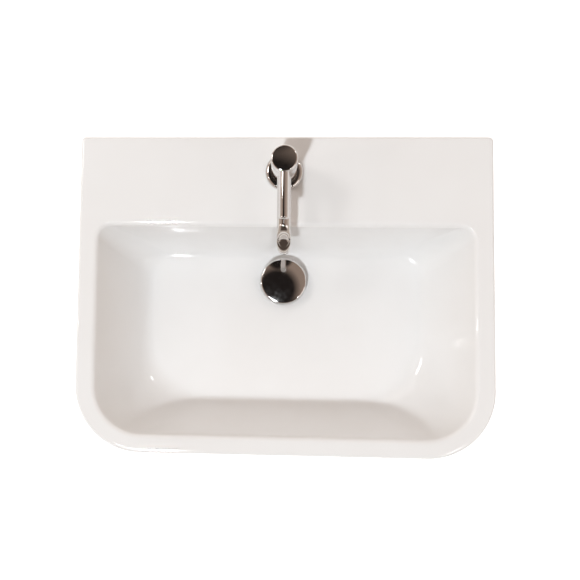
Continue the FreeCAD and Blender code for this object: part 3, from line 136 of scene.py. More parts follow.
def lathe(corners, place, steps=6, segments=96, axis="Z"):
    """Points and faces of a turned piece; corners are (radius, height, rounding), place its origin."""
    line = round_corners(corners, steps)
    rings = []
    for radius, height in line:
        ring = []
        for k in range(segments):
            turn = 2 * math.pi * k / segments
            across, along = max(radius, 0) * math.cos(turn), max(radius, 0) * math.sin(turn)
            point = (across, along, height) if axis == "Z" else (across, -height, along)
            ring.append(Vector(point) + Vector(place))
        rings.append(ring)
    return skin(rings, closed=True)


def tube_wall(outer, inner, low, high, edge=0.3):
    """The corners of a plain ring, by its radii and heights."""
    return [(inner, low, edge), (outer, low, edge), (outer, high, edge), (inner, high, edge)]


def prism(outline, low, high, axis="Z"):
    """A closed prism over a polygon, given as (x, y) for axis Z or as (y, z) for axis X."""
    def place(p, level):
        return (p[0], p[1], level) if axis == "Z" else (level, p[0], p[1])

    count = len(outline)
    points = [place(p, level) for level in (low, high) for p in outline]
    faces = [tuple(range(count)), tuple(range(count, 2 * count))]
    faces += [(i, (i + 1) % count, count + (i + 1) % count, count + i) for i in range(count)]
    return points, faces


def box_shape(low, high):
    outline = [(low[0], low[1]), (high[0], low[1]), (high[0], high[1]), (low[0], high[1])]
    return prism(outline, low[2], high[2])


def rod(radius, start, end, segments=64):
    """A closed cylinder between two points."""
    start, end = Vector(start), Vector(end)
    along = (end - start).normalized()
    side = along.orthogonal().normalized()
    other = along.cross(side)
    turns = [2 * math.pi * k / segments for k in range(segments)]
    circle = [(side * math.cos(t) + other * math.sin(t)) * radius for t in turns]
    points, faces = skin([[start + c for c in circle], [end + c for c in circle]])
    faces.append(tuple(range(segments)))
    faces.append(tuple(range(segments, 2 * segments)))
    return points, faces


def carve(piece, shapes, operation="DIFFERENCE", angle=35):
    """Cuts shapes out of a piece, or adds them to it, and keeps the result as its mesh."""
    for points, faces in shapes:
        tool = add_piece("tool", points, faces, None)
        cut = piece.modifiers.new("cut", "BOOLEAN")
        cut.object, cut.operation, cut.solver = tool, operation, "EXACT"
        result = piece.evaluated_get(bpy.context.evaluated_depsgraph_get())
        mesh = bpy.data.meshes.new_from_object(result)
        piece.modifiers.remove(cut)
        old, piece.data = piece.data, mesh
        bpy.data.meshes.remove(old)
        bpy.data.objects.remove(tool)
    finish_mesh(piece.data, angle)
    piece.data.name = piece.name


def join_shapes(shapes):
    """Several closed shapes as one list of points and one of faces."""
    points, faces = [], []
    for more_points, more_faces in shapes:
        faces += [tuple(i + len(points) for i in face) for face in more_faces]
        points += list(more_points)
    return points, faces


# ---------------------------------------------------------------- materials
def new_material(name, colour, roughness, metallic=0.0):
    material = bpy.data.materials.new(name)
    material.use_nodes = True
    shader = material.node_tree.nodes["Principled BSDF"]
    shader.inputs["Base Color"].default_value = (*colour, 1)
    shader.inputs["Roughness"].default_value = roughness
    shader.inputs["Metallic"].default_value = metallic
    return material, shader


def add_noise(material, scale, detail=3.0, stretch=None):
    """A noise in the object's own coordinates, in repeats per metre."""
    nodes, links = material.node_tree.nodes, material.node_tree.links
    place = nodes.new("ShaderNodeTexCoord")
    noise = nodes.new("ShaderNodeTexNoise")
    noise.inputs["Scale"].default_value = scale
    noise.inputs["Detail"].default_value = detail
    source = place.outputs["Object"]
    if stretch:
        mapping = nodes.new("ShaderNodeMapping")
        mapping.inputs["Scale"].default_value = stretch
        links.new(source, mapping.inputs["Vector"])
        source = mapping.outputs["Vector"]
    links.new(source, noise.inputs["Vector"])
    return noise.outputs["Fac"]


def spread(material, factor, low, high, socket):
    """Drives a socket between two values by a factor."""
    nodes, links = material.node_tree.nodes, material.node_tree.links
    span = nodes.new("ShaderNodeMapRange")
    span.inputs["From Min"].default_value = 0.3
    span.inputs["From Max"].default_value = 0.7
    span.inputs["To Min"].default_value = low
    span.inputs["To Max"].default_value = high
    links.new(factor, span.inputs["Value"])
    links.new(span.outputs["Result"], socket)


def tint(material, factor, first, second, socket):
    """Mixes two colours by a factor."""
    nodes, links = material.node_tree.nodes, material.node_tree.links
    ramp = nodes.new("ShaderNodeValToRGB")
    ramp.color_ramp.elements[0].position, ramp.color_ramp.elements[1].position = 0.35, 0.65
    ramp.color_ramp.elements[0].color = (*first, 1)
    ramp.color_ramp.elements[1].color = (*second, 1)
    links.new(factor, ramp.inputs["Fac"])
    links.new(ramp.outputs["Color"], socket)


def add_bump(material, shader, factor, strength, distance, coat=False):
    nodes, links = material.node_tree.nodes, material.node_tree.links
    bump = nodes.new("ShaderNodeBump")
    bump.inputs["Strength"].default_value = strength
    bump.inputs["Distance"].default_value = distance
    links.new(factor, bump.inputs["Height"])
    links.new(bump.outputs["Normal"], shader.inputs["Normal"])
    if coat:
        links.new(bump.outputs["Normal"], shader.inputs["Coat Normal"])


def make_glaze():
    """White glazed china: a faintly uneven body under a clear, slightly wavy glaze."""
    material, shader = new_material("glaze", (0.89, 0.886, 0.88), 0.28)
    cloud = add_noise(material, 9, 2)
    tint(material, cloud, (0.884, 0.878, 0.87), (0.9, 0.898, 0.893), shader.inputs["Base Color"])
    wave = add_noise(material, 38, 2)
    add_bump(material, shader, wave, 0.05, 0.0006, coat=True)
    shader.inputs["Coat Weight"].default_value = 1.0
    shader.inputs["Coat Roughness"].default_value = 0.035
    shader.inputs["Coat IOR"].default_value = 1.5
    shader.inputs["Specular IOR Level"].default_value = 0.0
    return material


def make_chrome():
    """Polished chrome plate with a faint veil of water marks."""
    material, shader = new_material("chrome", (0.72, 0.7, 0.69), 0.05, 1.0)
    veil = add_noise(material, 160, 4)
    spread(material, veil, 0.035, 0.1, shader.inputs["Roughness"])
    ripple = add_noise(material, 70, 2)
    add_bump(material, shader, ripple, 0.02, 0.0002)
    return material


def make_rubber():
    material, shader = new_material("rubber", (0.02, 0.02, 0.021), 0.6)
    grain = add_noise(material, 900, 4)
    tint(material, grain, (0.014, 0.014, 0.015), (0.035, 0.034, 0.034), shader.inputs["Base Color"])
    spread(material, grain, 0.5, 0.75, shader.inputs["Roughness"])
    add_bump(material, shader, grain, 0.25, 0.0001)
    return material


def make_plastic(name, dark, light):
    material, shader = new_material(name, light, 0.42)
    grain = add_noise(material, 700, 3)
    tint(material, grain, dark, light, shader.inputs["Base Color"])
    spread(material, grain, 0.36, 0.5, shader.inputs["Roughness"])
    add_bump(material, shader, grain, 0.12, 0.00006)
    return material


def make_disc_ceramic():
    """Ground alumina, almost mirror-flat."""
    material, shader = new_material("ground_ceramic", (0.82, 0.79, 0.73), 0.22)
    grain = add_noise(material, 1200, 3)
    tint(material, grain, (0.78, 0.75, 0.69), (0.85, 0.82, 0.77), shader.inputs["Base Color"])
    spread(material, grain, 0.16, 0.28, shader.inputs["Roughness"])
    return material


def make_turned_metal(name, dark, light, low, high):
    """Bare machined metal with fine turning marks round the upright axis."""
    material, shader = new_material(name, light, low, 1.0)
    marks = add_noise(material, 40, 4, stretch=(1, 1, 60))
    tint(material, marks, dark, light, shader.inputs["Base Color"])
    spread(material, marks, low, high, shader.inputs["Roughness"])
    add_bump(material, shader, marks, 0.15, 0.00005)
    return material


MATERIALS = {
    "white_glaze": make_glaze(),
    "chrome": make_chrome(),
    "black_rubber": make_rubber(),
    "white_plastic": make_plastic("white_plastic", (0.7, 0.7, 0.68), (0.8, 0.8, 0.78)),
    "grey_plastic": make_plastic("grey_plastic", (0.12, 0.13, 0.14), (0.2, 0.21, 0.22)),
    "disc_ceramic": make_disc_ceramic(),
    "brass": make_turned_metal("brass", (0.5, 0.34, 0.14), (0.72, 0.52, 0.24), 0.25, 0.4),
    "steel": make_turned_metal("steel", (0.4, 0.4, 0.41), (0.6, 0.6, 0.61), 0.22, 0.38),
}


# ---------------------------------------------------------------- basin
# how many steps each stretch of the plan and of its section has
STRAIGHT_STEPS = {"back": 64, "side": 40, "front": 48}
ARC_STEPS = 24
WALL_STEPS, EDGE_STEPS = 56, 10
RECESS_STEPS, FLOOR_STEPS, RIM_STEPS = 5, 14, 10
OUTER_EDGE_STEPS, BELLY_STEPS, FOOT_STEPS, LINING_STEPS = 8, 18, 8, 14
UNDERSIDE_STEPS, BOSS_STEPS = 24, 5


def plan_walk():
    """The plan outline as (corner, corner, share between them, normal's angle), counter-clockwise.

    Corners are (side, end): side is 1 on the right, end is 1 at the back."""
    corners = [(1, 1), (-1, 1), (-1, -1), (1, -1)]
    straights = ("back", "side", "front", "side")
    walk = []
    for k, corner in enumerate(corners):
        following = corners[(k + 1) % 4]
        steps = STRAIGHT_STEPS[straights[k]]
        angle = math.pi / 2 * (k + 1)
        walk += [(corner, following, step / steps, angle) for step in range(steps)]
        for step in range(ARC_STEPS):
            walk.append((following, following, 0, angle + math.pi / 2 * step / ARC_STEPS))
    return walk


WALK = plan_walk()


def plan_point(entry, half, back, front, back_radius, front_radius):
    """One point of an outline with straight sides and tangent quarter circles."""
    first, second, share, angle = entry

    def on_arc(corner):
        side, end = corner
        radius = back_radius if end > 0 else front_radius
        x = side * (half - radius) + radius * math.cos(angle)
        middle = back - radius if end > 0 else front + radius
        return Vector((x, middle + radius * math.sin(angle)))

    return on_arc(first).lerp(on_arc(second), share)


def plan_ring(level, half, back, front, back_radius, front_radius):
    sizes = (half, back, front, back_radius, front_radius)
    return [(*plan_point(entry, *sizes), level) for entry in WALK]


def bowl_point(entry, down, across, grow=0):
    """A point of the bowl's wall: down goes from 0 at the rim to 1 at the floor."""
    tilt = math.radians(FLOOR_FALL * down)
    x, v = plan_point(
        entry,
        BOWL_HALF + grow - SIDE_LEAN * down - SIDE_ROUND * across,
        BOWL_BACK + grow - BACK_LEAN * down - BACK_ROUND * across,
        BOWL_FRONT - grow + FRONT_LEAN * down + FRONT_ROUND * across,
        BOWL_BACK_CORNER + grow + BACK_CORNER_GAIN * down,
        BOWL_FRONT_CORNER + grow + FRONT_CORNER_GAIN * down,
    )
    lift = RIM - (BOWL_DEPTH + grow) * down + WASTE_Y * math.sin(tilt)
    return Vector((x, v * math.cos(tilt), lift - v * math.sin(tilt)))


def wall_point(entry, share, grow=0):
    turn = share * math.pi / 2
    power = 2 / BOWL_POWER
    return bowl_point(entry, math.sin(turn) ** power, 1 - max(math.cos(turn), 0) ** power, grow)


def floor_height(y, grow=0):
    tilt = math.radians(FLOOR_FALL)
    return RIM - BOWL_DEPTH - grow + (WASTE_Y - y) * math.tan(tilt)


def circle_ring(ring, radius, height=None):
    """The points of a circle round the waste that face the points of a ring."""
    circle = []
    for point in ring:
        away = Vector((point[0], point[1] - WASTE_Y)).normalized() * radius
        y = WASTE_Y + away.y
        circle.append(Vector((away.x, y, floor_height(y) if height is None else height)))
    return circle


def blend_rings(first, second, steps):
    """The rings between two rings, the second included."""
    return [
        [Vector(a).lerp(Vector(b), step / steps) for a, b in zip(first, second)]
        for step in range(1, steps + 1)
    ]


def bowl_edge_start(entry):
    """At the rim: the wall's top point, its outward normal, its drift per millimetre and its lean."""
    top = bowl_point(entry, 0, 0)
    normal = Vector((math.cos(entry[3]), math.sin(entry[3]), 0))
    slope = bowl_point(entry, 0.05, 0) - top
    slope /= -slope.z
    lean = math.atan(-slope.dot(normal))
    drift = slope + normal * math.tan(lean)
    drift.z = 0
    return top, normal, drift, lean


def bowl_rings():
    """From the floor's edge up the wall and over the rounded edge to the flat rim."""
    wall, edge = [], []
    starts = [bowl_edge_start(entry) for entry in WALK]
    for step in range(WALL_STEPS, -1, -1):
        ring = []
        for entry, (top, normal, drift, lean) in zip(WALK, starts):
            depth = BOWL_EDGE * (1 - math.cos(math.pi / 2 - lean))
            first = math.asin((depth / BOWL_DEPTH) ** (BOWL_POWER / 2)) / (math.pi / 2)
            ring.append(wall_point(entry, first + (1 - first) * step / WALL_STEPS))
        wall.append(ring)
    for step in range(EDGE_STEPS - 1, -1, -1):
        ring = []
        for top, normal, drift, lean in starts:
            turn = math.pi / 2 - lean
            reach = BOWL_EDGE * math.tan(turn / 2)
            now = turn * step / EDGE_STEPS
            depth = BOWL_EDGE * (1 - math.cos(now))
            out = reach - BOWL_EDGE * math.sin(now)
            ring.append(top + normal * out + drift * depth - Vector((0, 0, depth)))
        edge.append(ring)
    return wall, edge


def belly_ring(turn, inset):
    half = HALF_WIDTH - BELLY_SIDE + (BELLY_SIDE - inset) * math.cos(turn)
    front = -DEPTH + BELLY_FRONT - (BELLY_FRONT - inset) * math.cos(turn)
    level = RIM - APRON - (BELLY_HEIGHT - inset) * math.sin(turn)
    back = -BACK_WALL if inset else 0
    return plan_ring(level, half, back, front, BACK_CORNER, FRONT_CORNER - inset)


def outside_rings():
    """From the flat rim over its edge, down the apron and the belly to the foot, and up inside."""
    rings = []
    for step in range(OUTER_EDGE_STEPS + 1):
        turn = math.pi / 2 * step / OUTER_EDGE_STEPS
        inset = RIM_EDGE * (1 - math.sin(turn))
        level = RIM - RIM_EDGE * (1 - math.cos(turn))
        sizes = (HALF_WIDTH - inset, -inset, -DEPTH + inset)
        radii = (max(BACK_CORNER - inset, 0.5), FRONT_CORNER - inset)
        rings.append(plan_ring(level, *sizes, *radii))
    end, foot_edge = math.radians(BELLY_END), 0.015
    rings += [belly_ring(end * step / BELLY_STEPS, 0) for step in range(BELLY_STEPS)]
    rings.append(belly_ring(end - foot_edge, 0))
    low = belly_ring(end, 0)
    inner_end = math.asin(BELLY_HEIGHT * math.sin(end) / (BELLY_HEIGHT - SKIN))
    low_inside = belly_ring(inner_end, SKIN)
    rings += blend_rings(low, low_inside, FOOT_STEPS)[:-1]
    rings.append(low_inside)
    for step in range(1, LINING_STEPS + 1):
        rings.append(belly_ring(inner_end * (1 - step / LINING_STEPS), SKIN))
    sizes = (HALF_WIDTH - SKIN, -BACK_WALL, -DEPTH + SKIN, BACK_CORNER, FRONT_CORNER - SKIN)
    rings.append(plan_ring(RIM - DECK, *sizes))
    return rings


def underside_rings():
    """From the deck's underside down the bowl's outside to the boss round the waste."""
    power = BOWL_POWER / 2
    first = math.asin((DECK / (BOWL_DEPTH + SKIN)) ** power) / (math.pi / 2)
    rings = []
    for step in range(UNDERSIDE_STEPS + 1):
        share = first + (1 - first) * step / UNDERSIDE_STEPS
        rings.append([wall_point(entry, share, SKIN) for entry in WALK])
    under = circle_ring(rings[-1], BOSS_RADIUS, 0)
    for point in under:
        point.z = floor_height(point.y, SKIN)
    rings += blend_rings(rings[-1], under, BOSS_STEPS)
    low = SEAT - BOSS_HEIGHT
    boss = ((BOSS_RADIUS, low + BOSS_EDGE), (BOSS_RADIUS - BOSS_EDGE, low), (HOLE_RADIUS, low))
    for radius, height in boss:
        rings.append(circle_ring(rings[-1], radius, height))
    return rings


def build_basin():
    wall, edge = bowl_rings()
    floor_edge = wall[0]
    rings = [circle_ring(floor_edge, HOLE_RADIUS, SEAT)]
    rings.append(circle_ring(floor_edge, RECESS_RADIUS, SEAT))
    for step in range(RECESS_STEPS + 1):
        turn = math.pi / 2 * step / RECESS_STEPS
        ring = circle_ring(floor_edge, RECESS_RADIUS + RECESS_EDGE * (1 - math.cos(turn)))
        for point in ring:
            point.z -= RECESS_EDGE * (1 - math.sin(turn))
        rings.append(ring)
    rings += blend_rings(rings[-1], floor_edge, FLOOR_STEPS)[:-1]
    rings += wall + edge
    outside = outside_rings()
    rings += blend_rings(edge[-1], outside[0], RIM_STEPS)[:-1]
    rings += outside
    rings += underside_rings()
    points, faces = skin(rings, closed=True)
    basin = add_piece("basin_glazed", points, faces, ROOT, "basin", "white_glaze", 30)
    foot = RIM - APRON - BELLY_HEIGHT * math.sin(math.radians(BELLY_END))
    notch_top = foot + NOTCH_HEIGHT
    overflow = RIM - OVERFLOW_DROP
    cuts = [
        rod(TAP_HOLE / 2, (0, TAP_Y, RIM - DECK - OVERRUN), (0, TAP_Y, RIM + OVERRUN), 96),
        rod(OVERFLOW_RADIUS, (0, BOWL_BACK - 20, overflow), (0, BOWL_BACK + 15, overflow)),
    ]
    for side in (1, -1):
        x = side * FIXING_ASIDE
        cuts.append(rod(FIXING_RADIUS, (x, -BACK_WALL - OVERRUN, 0), (x, OVERRUN, 0)))
    notch_low = (-NOTCH_HALF, -BACK_WALL - 2, notch_top - 60)
    cuts.append(box_shape(notch_low, (NOTCH_HALF, OVERRUN, notch_top)))
    carve(basin, cuts, angle=30)


def build_duct():
    """The overflow duct behind the bowl; its front ends inside the bowl's wall and the boss."""
    top, low, back = RIM - 19, SEAT - 34, BOWL_BACK + SKIN + 12
    front, rows = WASTE_Y + 32, 12

    def shape(wall):
        bend = DUCT_SLOPE - wall * math.tan(math.radians(22.5))
        outline = [
            (back + wall, top + wall),
            (back + wall, low + bend),
            (back - bend, low - wall),
            (front, low - wall),
            (front, top + wall),
        ]
        return prism(outline, -DUCT_HALF - wall, DUCT_HALF + wall, axis="X")

    duct = add_piece("overflow_duct", *shape(DUCT_WALL), ROOT, None, "white_glaze", 30)
    rings = [[wall_point(entry, row / rows, SKIN / 2) for entry in WALK] for row in range(rows + 1)]
    points, faces = skin(rings)
    count = len(WALK)
    faces.append(tuple(range(count)))
    faces.append(tuple(range(rows * count, (rows + 1) * count)))
    carve(duct, [shape(0), (points, faces)], angle=30)


build_basin()
build_duct()

# ---------------------------------------------------------------- tap
# heights over the deck, radii and distances from the body's axis
TAP = (0, TAP_Y, RIM)
SPIGOT_RADIUS, SPIGOT_DEPTH = 15.5, 10
SEAL_HEIGHT, FOOT_RADIUS, FOOT_TOP = 0.8, 21, 3
BODY_RADIUS, BODY_TOP = 16.5, 82
CARTRIDGE_RADIUS, CARTRIDGE_FLOOR = 12.7, 57.5
NUT_SEAT_RADIUS, NUT_LOW = 13.15, 78.95
INLET_RADIUS, INLET_ASIDE, INLET_AHEAD = 4.46, 6.2, 2
STUD_BACK, STUD_BORE = 10.5, 4.05
SPOUT_HEIGHT, SPOUT_REACH, SPOUT_BEND, OUTLET_HEIGHT = 47.5, 102.5, 28, 16.5
SOCKET_RADIUS, TUBE_RADIUS, TUBE_BORE, TUBE_EDGE = 8.8, 8.75, 6.5, 0.8
AERATOR_SEAT, AERATOR_DEPTH = 7.5, 5
PIVOT_HEIGHT, LIFT_ANGLE, LIFT_GAP = 72.5, 20, 0.4
CAP_LOW, CAP_CEILING, CAP_TOP, CAP_BORE, CAP_EDGE = 82.8, 87.8, 100, 12.6, 2.4
LEVER_HEIGHT, LEVER_SEAT, LEVER_END = 91.2, 14.2, 73
LEVER_RADIUS, LEVER_BORE, LEVER_EDGE = 6.25, 6.3, 2.5
TENON_RADIUS, TENON_START = 3, 8
SPINDLE_HALF, SPINDLE_TOP = 3.4, 96.4
GRUB_HEIGHT, GRUB_BORE = 94, 2.55


def build_tap_body():
    corners = [
        (0, -SPIGOT_DEPTH, 0),
        (SPIGOT_RADIUS, -SPIGOT_DEPTH, 0.4),
        (SPIGOT_RADIUS, SEAL_HEIGHT, 0),
        (FOOT_RADIUS, SEAL_HEIGHT, 0.2),
        (FOOT_RADIUS, FOOT_TOP, 0.2),
        (BODY_RADIUS, FOOT_TOP, 0),
        (BODY_RADIUS, BODY_TOP, 0.5),
        (NUT_SEAT_RADIUS, BODY_TOP, 0.3),
        (NUT_SEAT_RADIUS, NUT_LOW, 0),
        (CARTRIDGE_RADIUS, NUT_LOW, 0),
        (CARTRIDGE_RADIUS, CARTRIDGE_FLOOR, 0),
        (0, CARTRIDGE_FLOOR, 0),
    ]
    points, faces = lathe(corners, TAP, segments=128)
    body = add_piece("tap_body_chrome", points, faces, ROOT, "tap_body", "chrome")
    height, below = RIM + SPOUT_HEIGHT, RIM - SPIGOT_DEPTH - OVERRUN
    cuts = [rod(SOCKET_RADIUS, (0, TAP_Y - 10, height), (0, TAP_Y - 30, height), 96)]
    for side in (1, -1):
        x, y = side * INLET_ASIDE, TAP_Y - INLET_AHEAD
        cuts.append(rod(INLET_RADIUS, (x, y, below), (x, y, RIM + 4)))
    stud_y = TAP_Y + STUD_BACK
    cuts.append(rod(STUD_BORE, (0, stud_y, below), (0, stud_y, RIM + 1)))
    carve(body, cuts)


def build_spout(bend_steps=40, edge_steps=6, segments=96):
    """A bent tube with a rounded end and an open bore."""
    track = [(-10, SPOUT_HEIGHT, 0), (-30, SPOUT_HEIGHT, 0), (-50, SPOUT_HEIGHT, 0)]
    for step in range(bend_steps + 1):
        turn = math.pi / 2 * step / bend_steps
        y = -(SPOUT_REACH - SPOUT_BEND) - SPOUT_BEND * math.sin(turn)
        track.append((y, SPOUT_HEIGHT - SPOUT_BEND + SPOUT_BEND * math.cos(turn), turn))
    track.append((-SPOUT_REACH, OUTLET_HEIGHT, math.pi / 2))

    def ring(y, z, turn, radius, along=0):
        aside = Vector((0, math.sin(turn), math.cos(turn)))
        forward = Vector((0, -math.cos(turn), -math.sin(turn)))
        centre = Vector(TAP) + Vector((0, y, z)) + forward * along
        angles = [2 * math.pi * k / segments for k in range(segments)]
        spokes = [Vector((1, 0, 0)) * math.cos(a) + aside * math.sin(a) for a in angles]
        return [centre + spoke * radius for spoke in spokes]

    rings = [ring(*place, TUBE_RADIUS) for place in track[:-1]]
    for step in range(edge_steps + 1):
        turn = math.pi / 2 * step / edge_steps
        radius = TUBE_RADIUS - TUBE_EDGE * (1 - math.cos(turn))
        rings.append(ring(*track[-1], radius, TUBE_EDGE * (math.sin(turn) - 1)))
    bevel = 0.2
    seat = [
        (AERATOR_SEAT + bevel, 0),
        (AERATOR_SEAT, -bevel),
        (AERATOR_SEAT, -AERATOR_DEPTH),
        (TUBE_BORE, -AERATOR_DEPTH),
    ]
    rings += [ring(*track[-1], radius, along) for radius, along in seat]
    rings += [ring(*place, TUBE_BORE) for place in reversed(track[:-2])]
    points, faces = skin(rings, closed=True)
    add_piece("spout_chrome", points, faces, ROOT, "spout", "chrome")


def build_cap():
    """The handle's cap, cut away at the back so that it clears the body when it lifts."""
    corners = [
        (0, CAP_CEILING, 0),
        (CAP_BORE, CAP_CEILING, 0.5),
        (CAP_BORE, CAP_LOW, 0.3),
        (BODY_RADIUS, CAP_LOW, 0.5),
        (BODY_RADIUS, CAP_TOP, CAP_EDGE),
        (0, CAP_TOP, 0),
    ]
    points, faces = lathe(corners, TAP, steps=12, segments=128)
    cap = add_piece("handle_cap_chrome", points, faces, LEVER, "handle_cap", "chrome")
    lift = math.radians(LIFT_ANGLE)
    level = PIVOT_HEIGHT + (BODY_TOP - PIVOT_HEIGHT) / math.cos(lift) + LIFT_GAP
    reach = 2 * BODY_RADIUS
    wedge = [
        (TAP_Y, RIM + BODY_TOP),
        (TAP_Y + reach, RIM + BODY_TOP),
        (TAP_Y + reach, RIM + level + reach * math.tan(lift)),
        (TAP_Y, RIM + level),
    ]
    lever_z, grub_z = RIM + LEVER_HEIGHT, RIM + GRUB_HEIGHT
    spindle_low = (-SPINDLE_HALF, TAP_Y - SPINDLE_HALF, RIM + 80)
    cuts = [
        prism(wedge, -40, 40, axis="X"),
        rod(LEVER_BORE, (0, TAP_Y - LEVER_SEAT, lever_z), (0, TAP_Y - 30, lever_z), 96),
        rod(GRUB_BORE, (0, TAP_Y + 14, grub_z), (0, TAP_Y + 30, grub_z), 48),
        box_shape(spindle_low, (SPINDLE_HALF, TAP_Y + SPINDLE_HALF, RIM + SPINDLE_TOP)),
    ]
    carve(cap, cuts)


def build_lever():
    """The rod with its tenon, and the cover over the grub screw at the back."""
    lever = [
        (0, TENON_START, 0),
        (TENON_RADIUS, TENON_START, 0.4),
        (TENON_RADIUS, LEVER_SEAT, 0),
        (LEVER_RADIUS, LEVER_SEAT, 0.3),
        (LEVER_RADIUS, LEVER_END, LEVER_EDGE),
        (0, LEVER_END, 0),
    ]
    place = (0, TAP_Y, RIM + LEVER_HEIGHT)
    points, faces = lathe(lever, place, steps=12, segments=96, axis="Y")
    add_piece("lever_rod_chrome", points, faces, LEVER, "lever_rod", "chrome")
    radius, start, end = 2.5, 14.1, 16.4
    cover = [(0, start, 0), (radius, start, 0), (radius, end, 0.4), (0, end, 0)]
    points, faces = lathe(cover, (0, TAP_Y, RIM + GRUB_HEIGHT), segments=48, axis="Y")
    points = [Vector((p.x, 2 * TAP_Y - p.y, p.z)) for p in points]
    add_piece("grub_cover_chrome", points, faces, LEVER, "grub_screw_cover", "chrome")


build_tap_body()
build_spout()
build_cap()
build_lever()

# ---------------------------------------------------------------- turned pieces
WASTE = (0, WASTE_Y, SEAT)
OUTLET = (0, TAP_Y - SPOUT_REACH, RIM + OUTLET_HEIGHT)
PLUG_LOW, PLUG_HEIGHT, PLUG_RADIUS, PLUG_CROWN = 12.5, 6.5, 33, 3
PLUG_EDGE = PLUG_LOW + PLUG_HEIGHT
NUT_TOP, NUT_BORE, RING_RADIUS, RING_TOP = 83.4, 8.6, 25.25, 6.5
GUIDE_LOW, GUIDE_TOP, GUIDE_RADIUS, GUIDE_BORE = -32, 2, 7, 5.45


def plug_dome(count=12):
    """The domed top of the plug, from near its edge to its middle."""
    dome = []
    for step in range(1, count + 1):
        radius = PLUG_RADIUS * (1 - step / count)
        dome.append((radius, PLUG_EDGE + PLUG_CROWN * (1 - (radius / PLUG_RADIUS) ** 2), 0))
    return dome


# each node's slot, body, origin and corners as (radius, height, rounding)
TURNED = {
    "tap_base_ring": ("chrome", ROOT, TAP, [
        (FOOT_RADIUS + 0.05, SEAL_HEIGHT, 0.2),
        (RING_RADIUS, SEAL_HEIGHT, 0.3),
        (RING_RADIUS, RING_TOP, 5),
        (BODY_RADIUS + 0.05, RING_TOP, 0.3),
        (BODY_RADIUS + 0.05, FOOT_TOP + 0.05, 0),
        (FOOT_RADIUS + 0.05, FOOT_TOP + 0.05, 0),
    ]),
    "tap_base_seal": ("black_rubber", ROOT, TAP, tube_wall(24.45, 15.55, 0, SEAL_HEIGHT, 0.1)),
    "aerator_ring": ("chrome", ROOT, OUTLET, tube_wall(7.45, 6.3, 0.05, 4.95, 0.25)),
    "cartridge_nut": ("brass", ROOT, TAP, [
        (NUT_BORE, NUT_LOW, 0.2),
        (13.1, NUT_LOW, 0),
        (13.1, BODY_TOP, 0.2),
        (NUT_BORE + 1, NUT_TOP, 0.2),
        (NUT_BORE, NUT_TOP, 0.2),
    ]),
    "waste_flange_seal": ("black_rubber", ROOT, WASTE, tube_wall(30.55, 23, 0, 1.2, 0.2)),
    "waste_gasket": ("black_rubber", ROOT, WASTE, tube_wall(33, 21, -50, -45, 0.8)),
    "waste_slip_washer": ("white_plastic", ROOT, WASTE, tube_wall(32, 21, -52, -50, 0.3)),
    "waste_plug": ("chrome", PLUG, WASTE, [
        (0, 15.8, 0),
        (4.05, 15.8, 0),
        (4.05, 10.5, 0.2),
        (6.5, 10.5, 0.4),
        (6.5, PLUG_LOW, 0.3),
        (PLUG_RADIUS, PLUG_LOW, 1.4),
        (PLUG_RADIUS, PLUG_EDGE, 2.8),
        *plug_dome(),
    ]),
    "plug_seal": ("black_rubber", PLUG, WASTE, tube_wall(24, 19, PLUG_LOW - 1, PLUG_LOW, 0.4)),
    "plug_plunger": ("brass", PLUG, WASTE, [
        (0, -6.1, 0), (5.4, -6.1, 0.5), (5.4, -0.1, 0.3), (4, -0.1, 0), (4, 15.75, 0.4), (0, 15.75, 0),
    ]),
    "plug_guide": ("brass", ROOT, WASTE, [
        (0, GUIDE_LOW, 0),
        (4, GUIDE_LOW, 0.4),
        (4, -26, 0),
        (GUIDE_RADIUS, -26, 0.4),
        (GUIDE_RADIUS, GUIDE_TOP, 0.5),
        (4.1, GUIDE_TOP, 0.3),
        (4.1, 0, 0.2),
        (GUIDE_BORE, 0, 0),
        (GUIDE_BORE, -23, 0),
        (0, -23, 0),
    ]),
}
for node, (slot, body, place, corners) in TURNED.items():
    points, faces = lathe(corners, place, steps=8, segments=128)
    add_piece(f"{node}_turned", points, faces, body, node, slot)


# ---------------------------------------------------------------- threads and nuts
FLANGE_RADIUS, FLANGE_TOP, FLANGE_EDGE, FLANGE_LOW = 31.75, 4, 1.4, 1.2
TAIL_RADIUS, TAIL_BORE, TAIL_END = 20.95, 18.2, -95
TAIL_PITCH, TAIL_THREAD = 2.309, 1.25
GROOVE_RADIUS, GROOVE_TOP, GROOVE_LOW = 20.15, -61, -63
CROSS_LOW, CROSS_TOP = -32, -26
STUD = (0, TAP_Y + STUD_BACK, RIM)
STUD_RADIUS, STUD_CORE, STUD_TOP, STUD_END = 4, 3.6, 1, -74
STUD_PITCH, STUD_THREAD = 1.25, 0.6


def threaded_rings(place, outer, pitch, depth, top, low, segments=72, steps=6):
    """The rings of a screwed surface from top to bottom, with a run-in at both ends."""
    rings = []
    rows = int((top - low) / pitch * steps)
    for row in range(rows + 1):
        height = top - (top - low) * row / rows
        fade = min(1, (top - height) / pitch, (height - low) / pitch)
        ring = []
        for k in range(segments):
            turn = 2 * math.pi * k / segments
            wave = abs(((height / pitch - k / segments) % 1) * 2 - 1)
            groove = depth * min(1, max(0, 1.25 * wave - 0.12)) * max(fade, 0)
            radius = outer - groove
            point = Vector((radius * math.cos(turn), radius * math.sin(turn), height))
            ring.append(point + Vector(place))
        rings.append(ring)
    return rings


def turned_rings(place, line, segments=72):
    """The rings of a turned surface; line holds (radius, height)."""
    turns = [2 * math.pi * k / segments for k in range(segments)]
    rings = []
    for radius, height in line:
        points = [Vector((radius * math.cos(t), radius * math.sin(t), height)) for t in turns]
        rings.append([point + Vector(place) for point in points])
    return rings


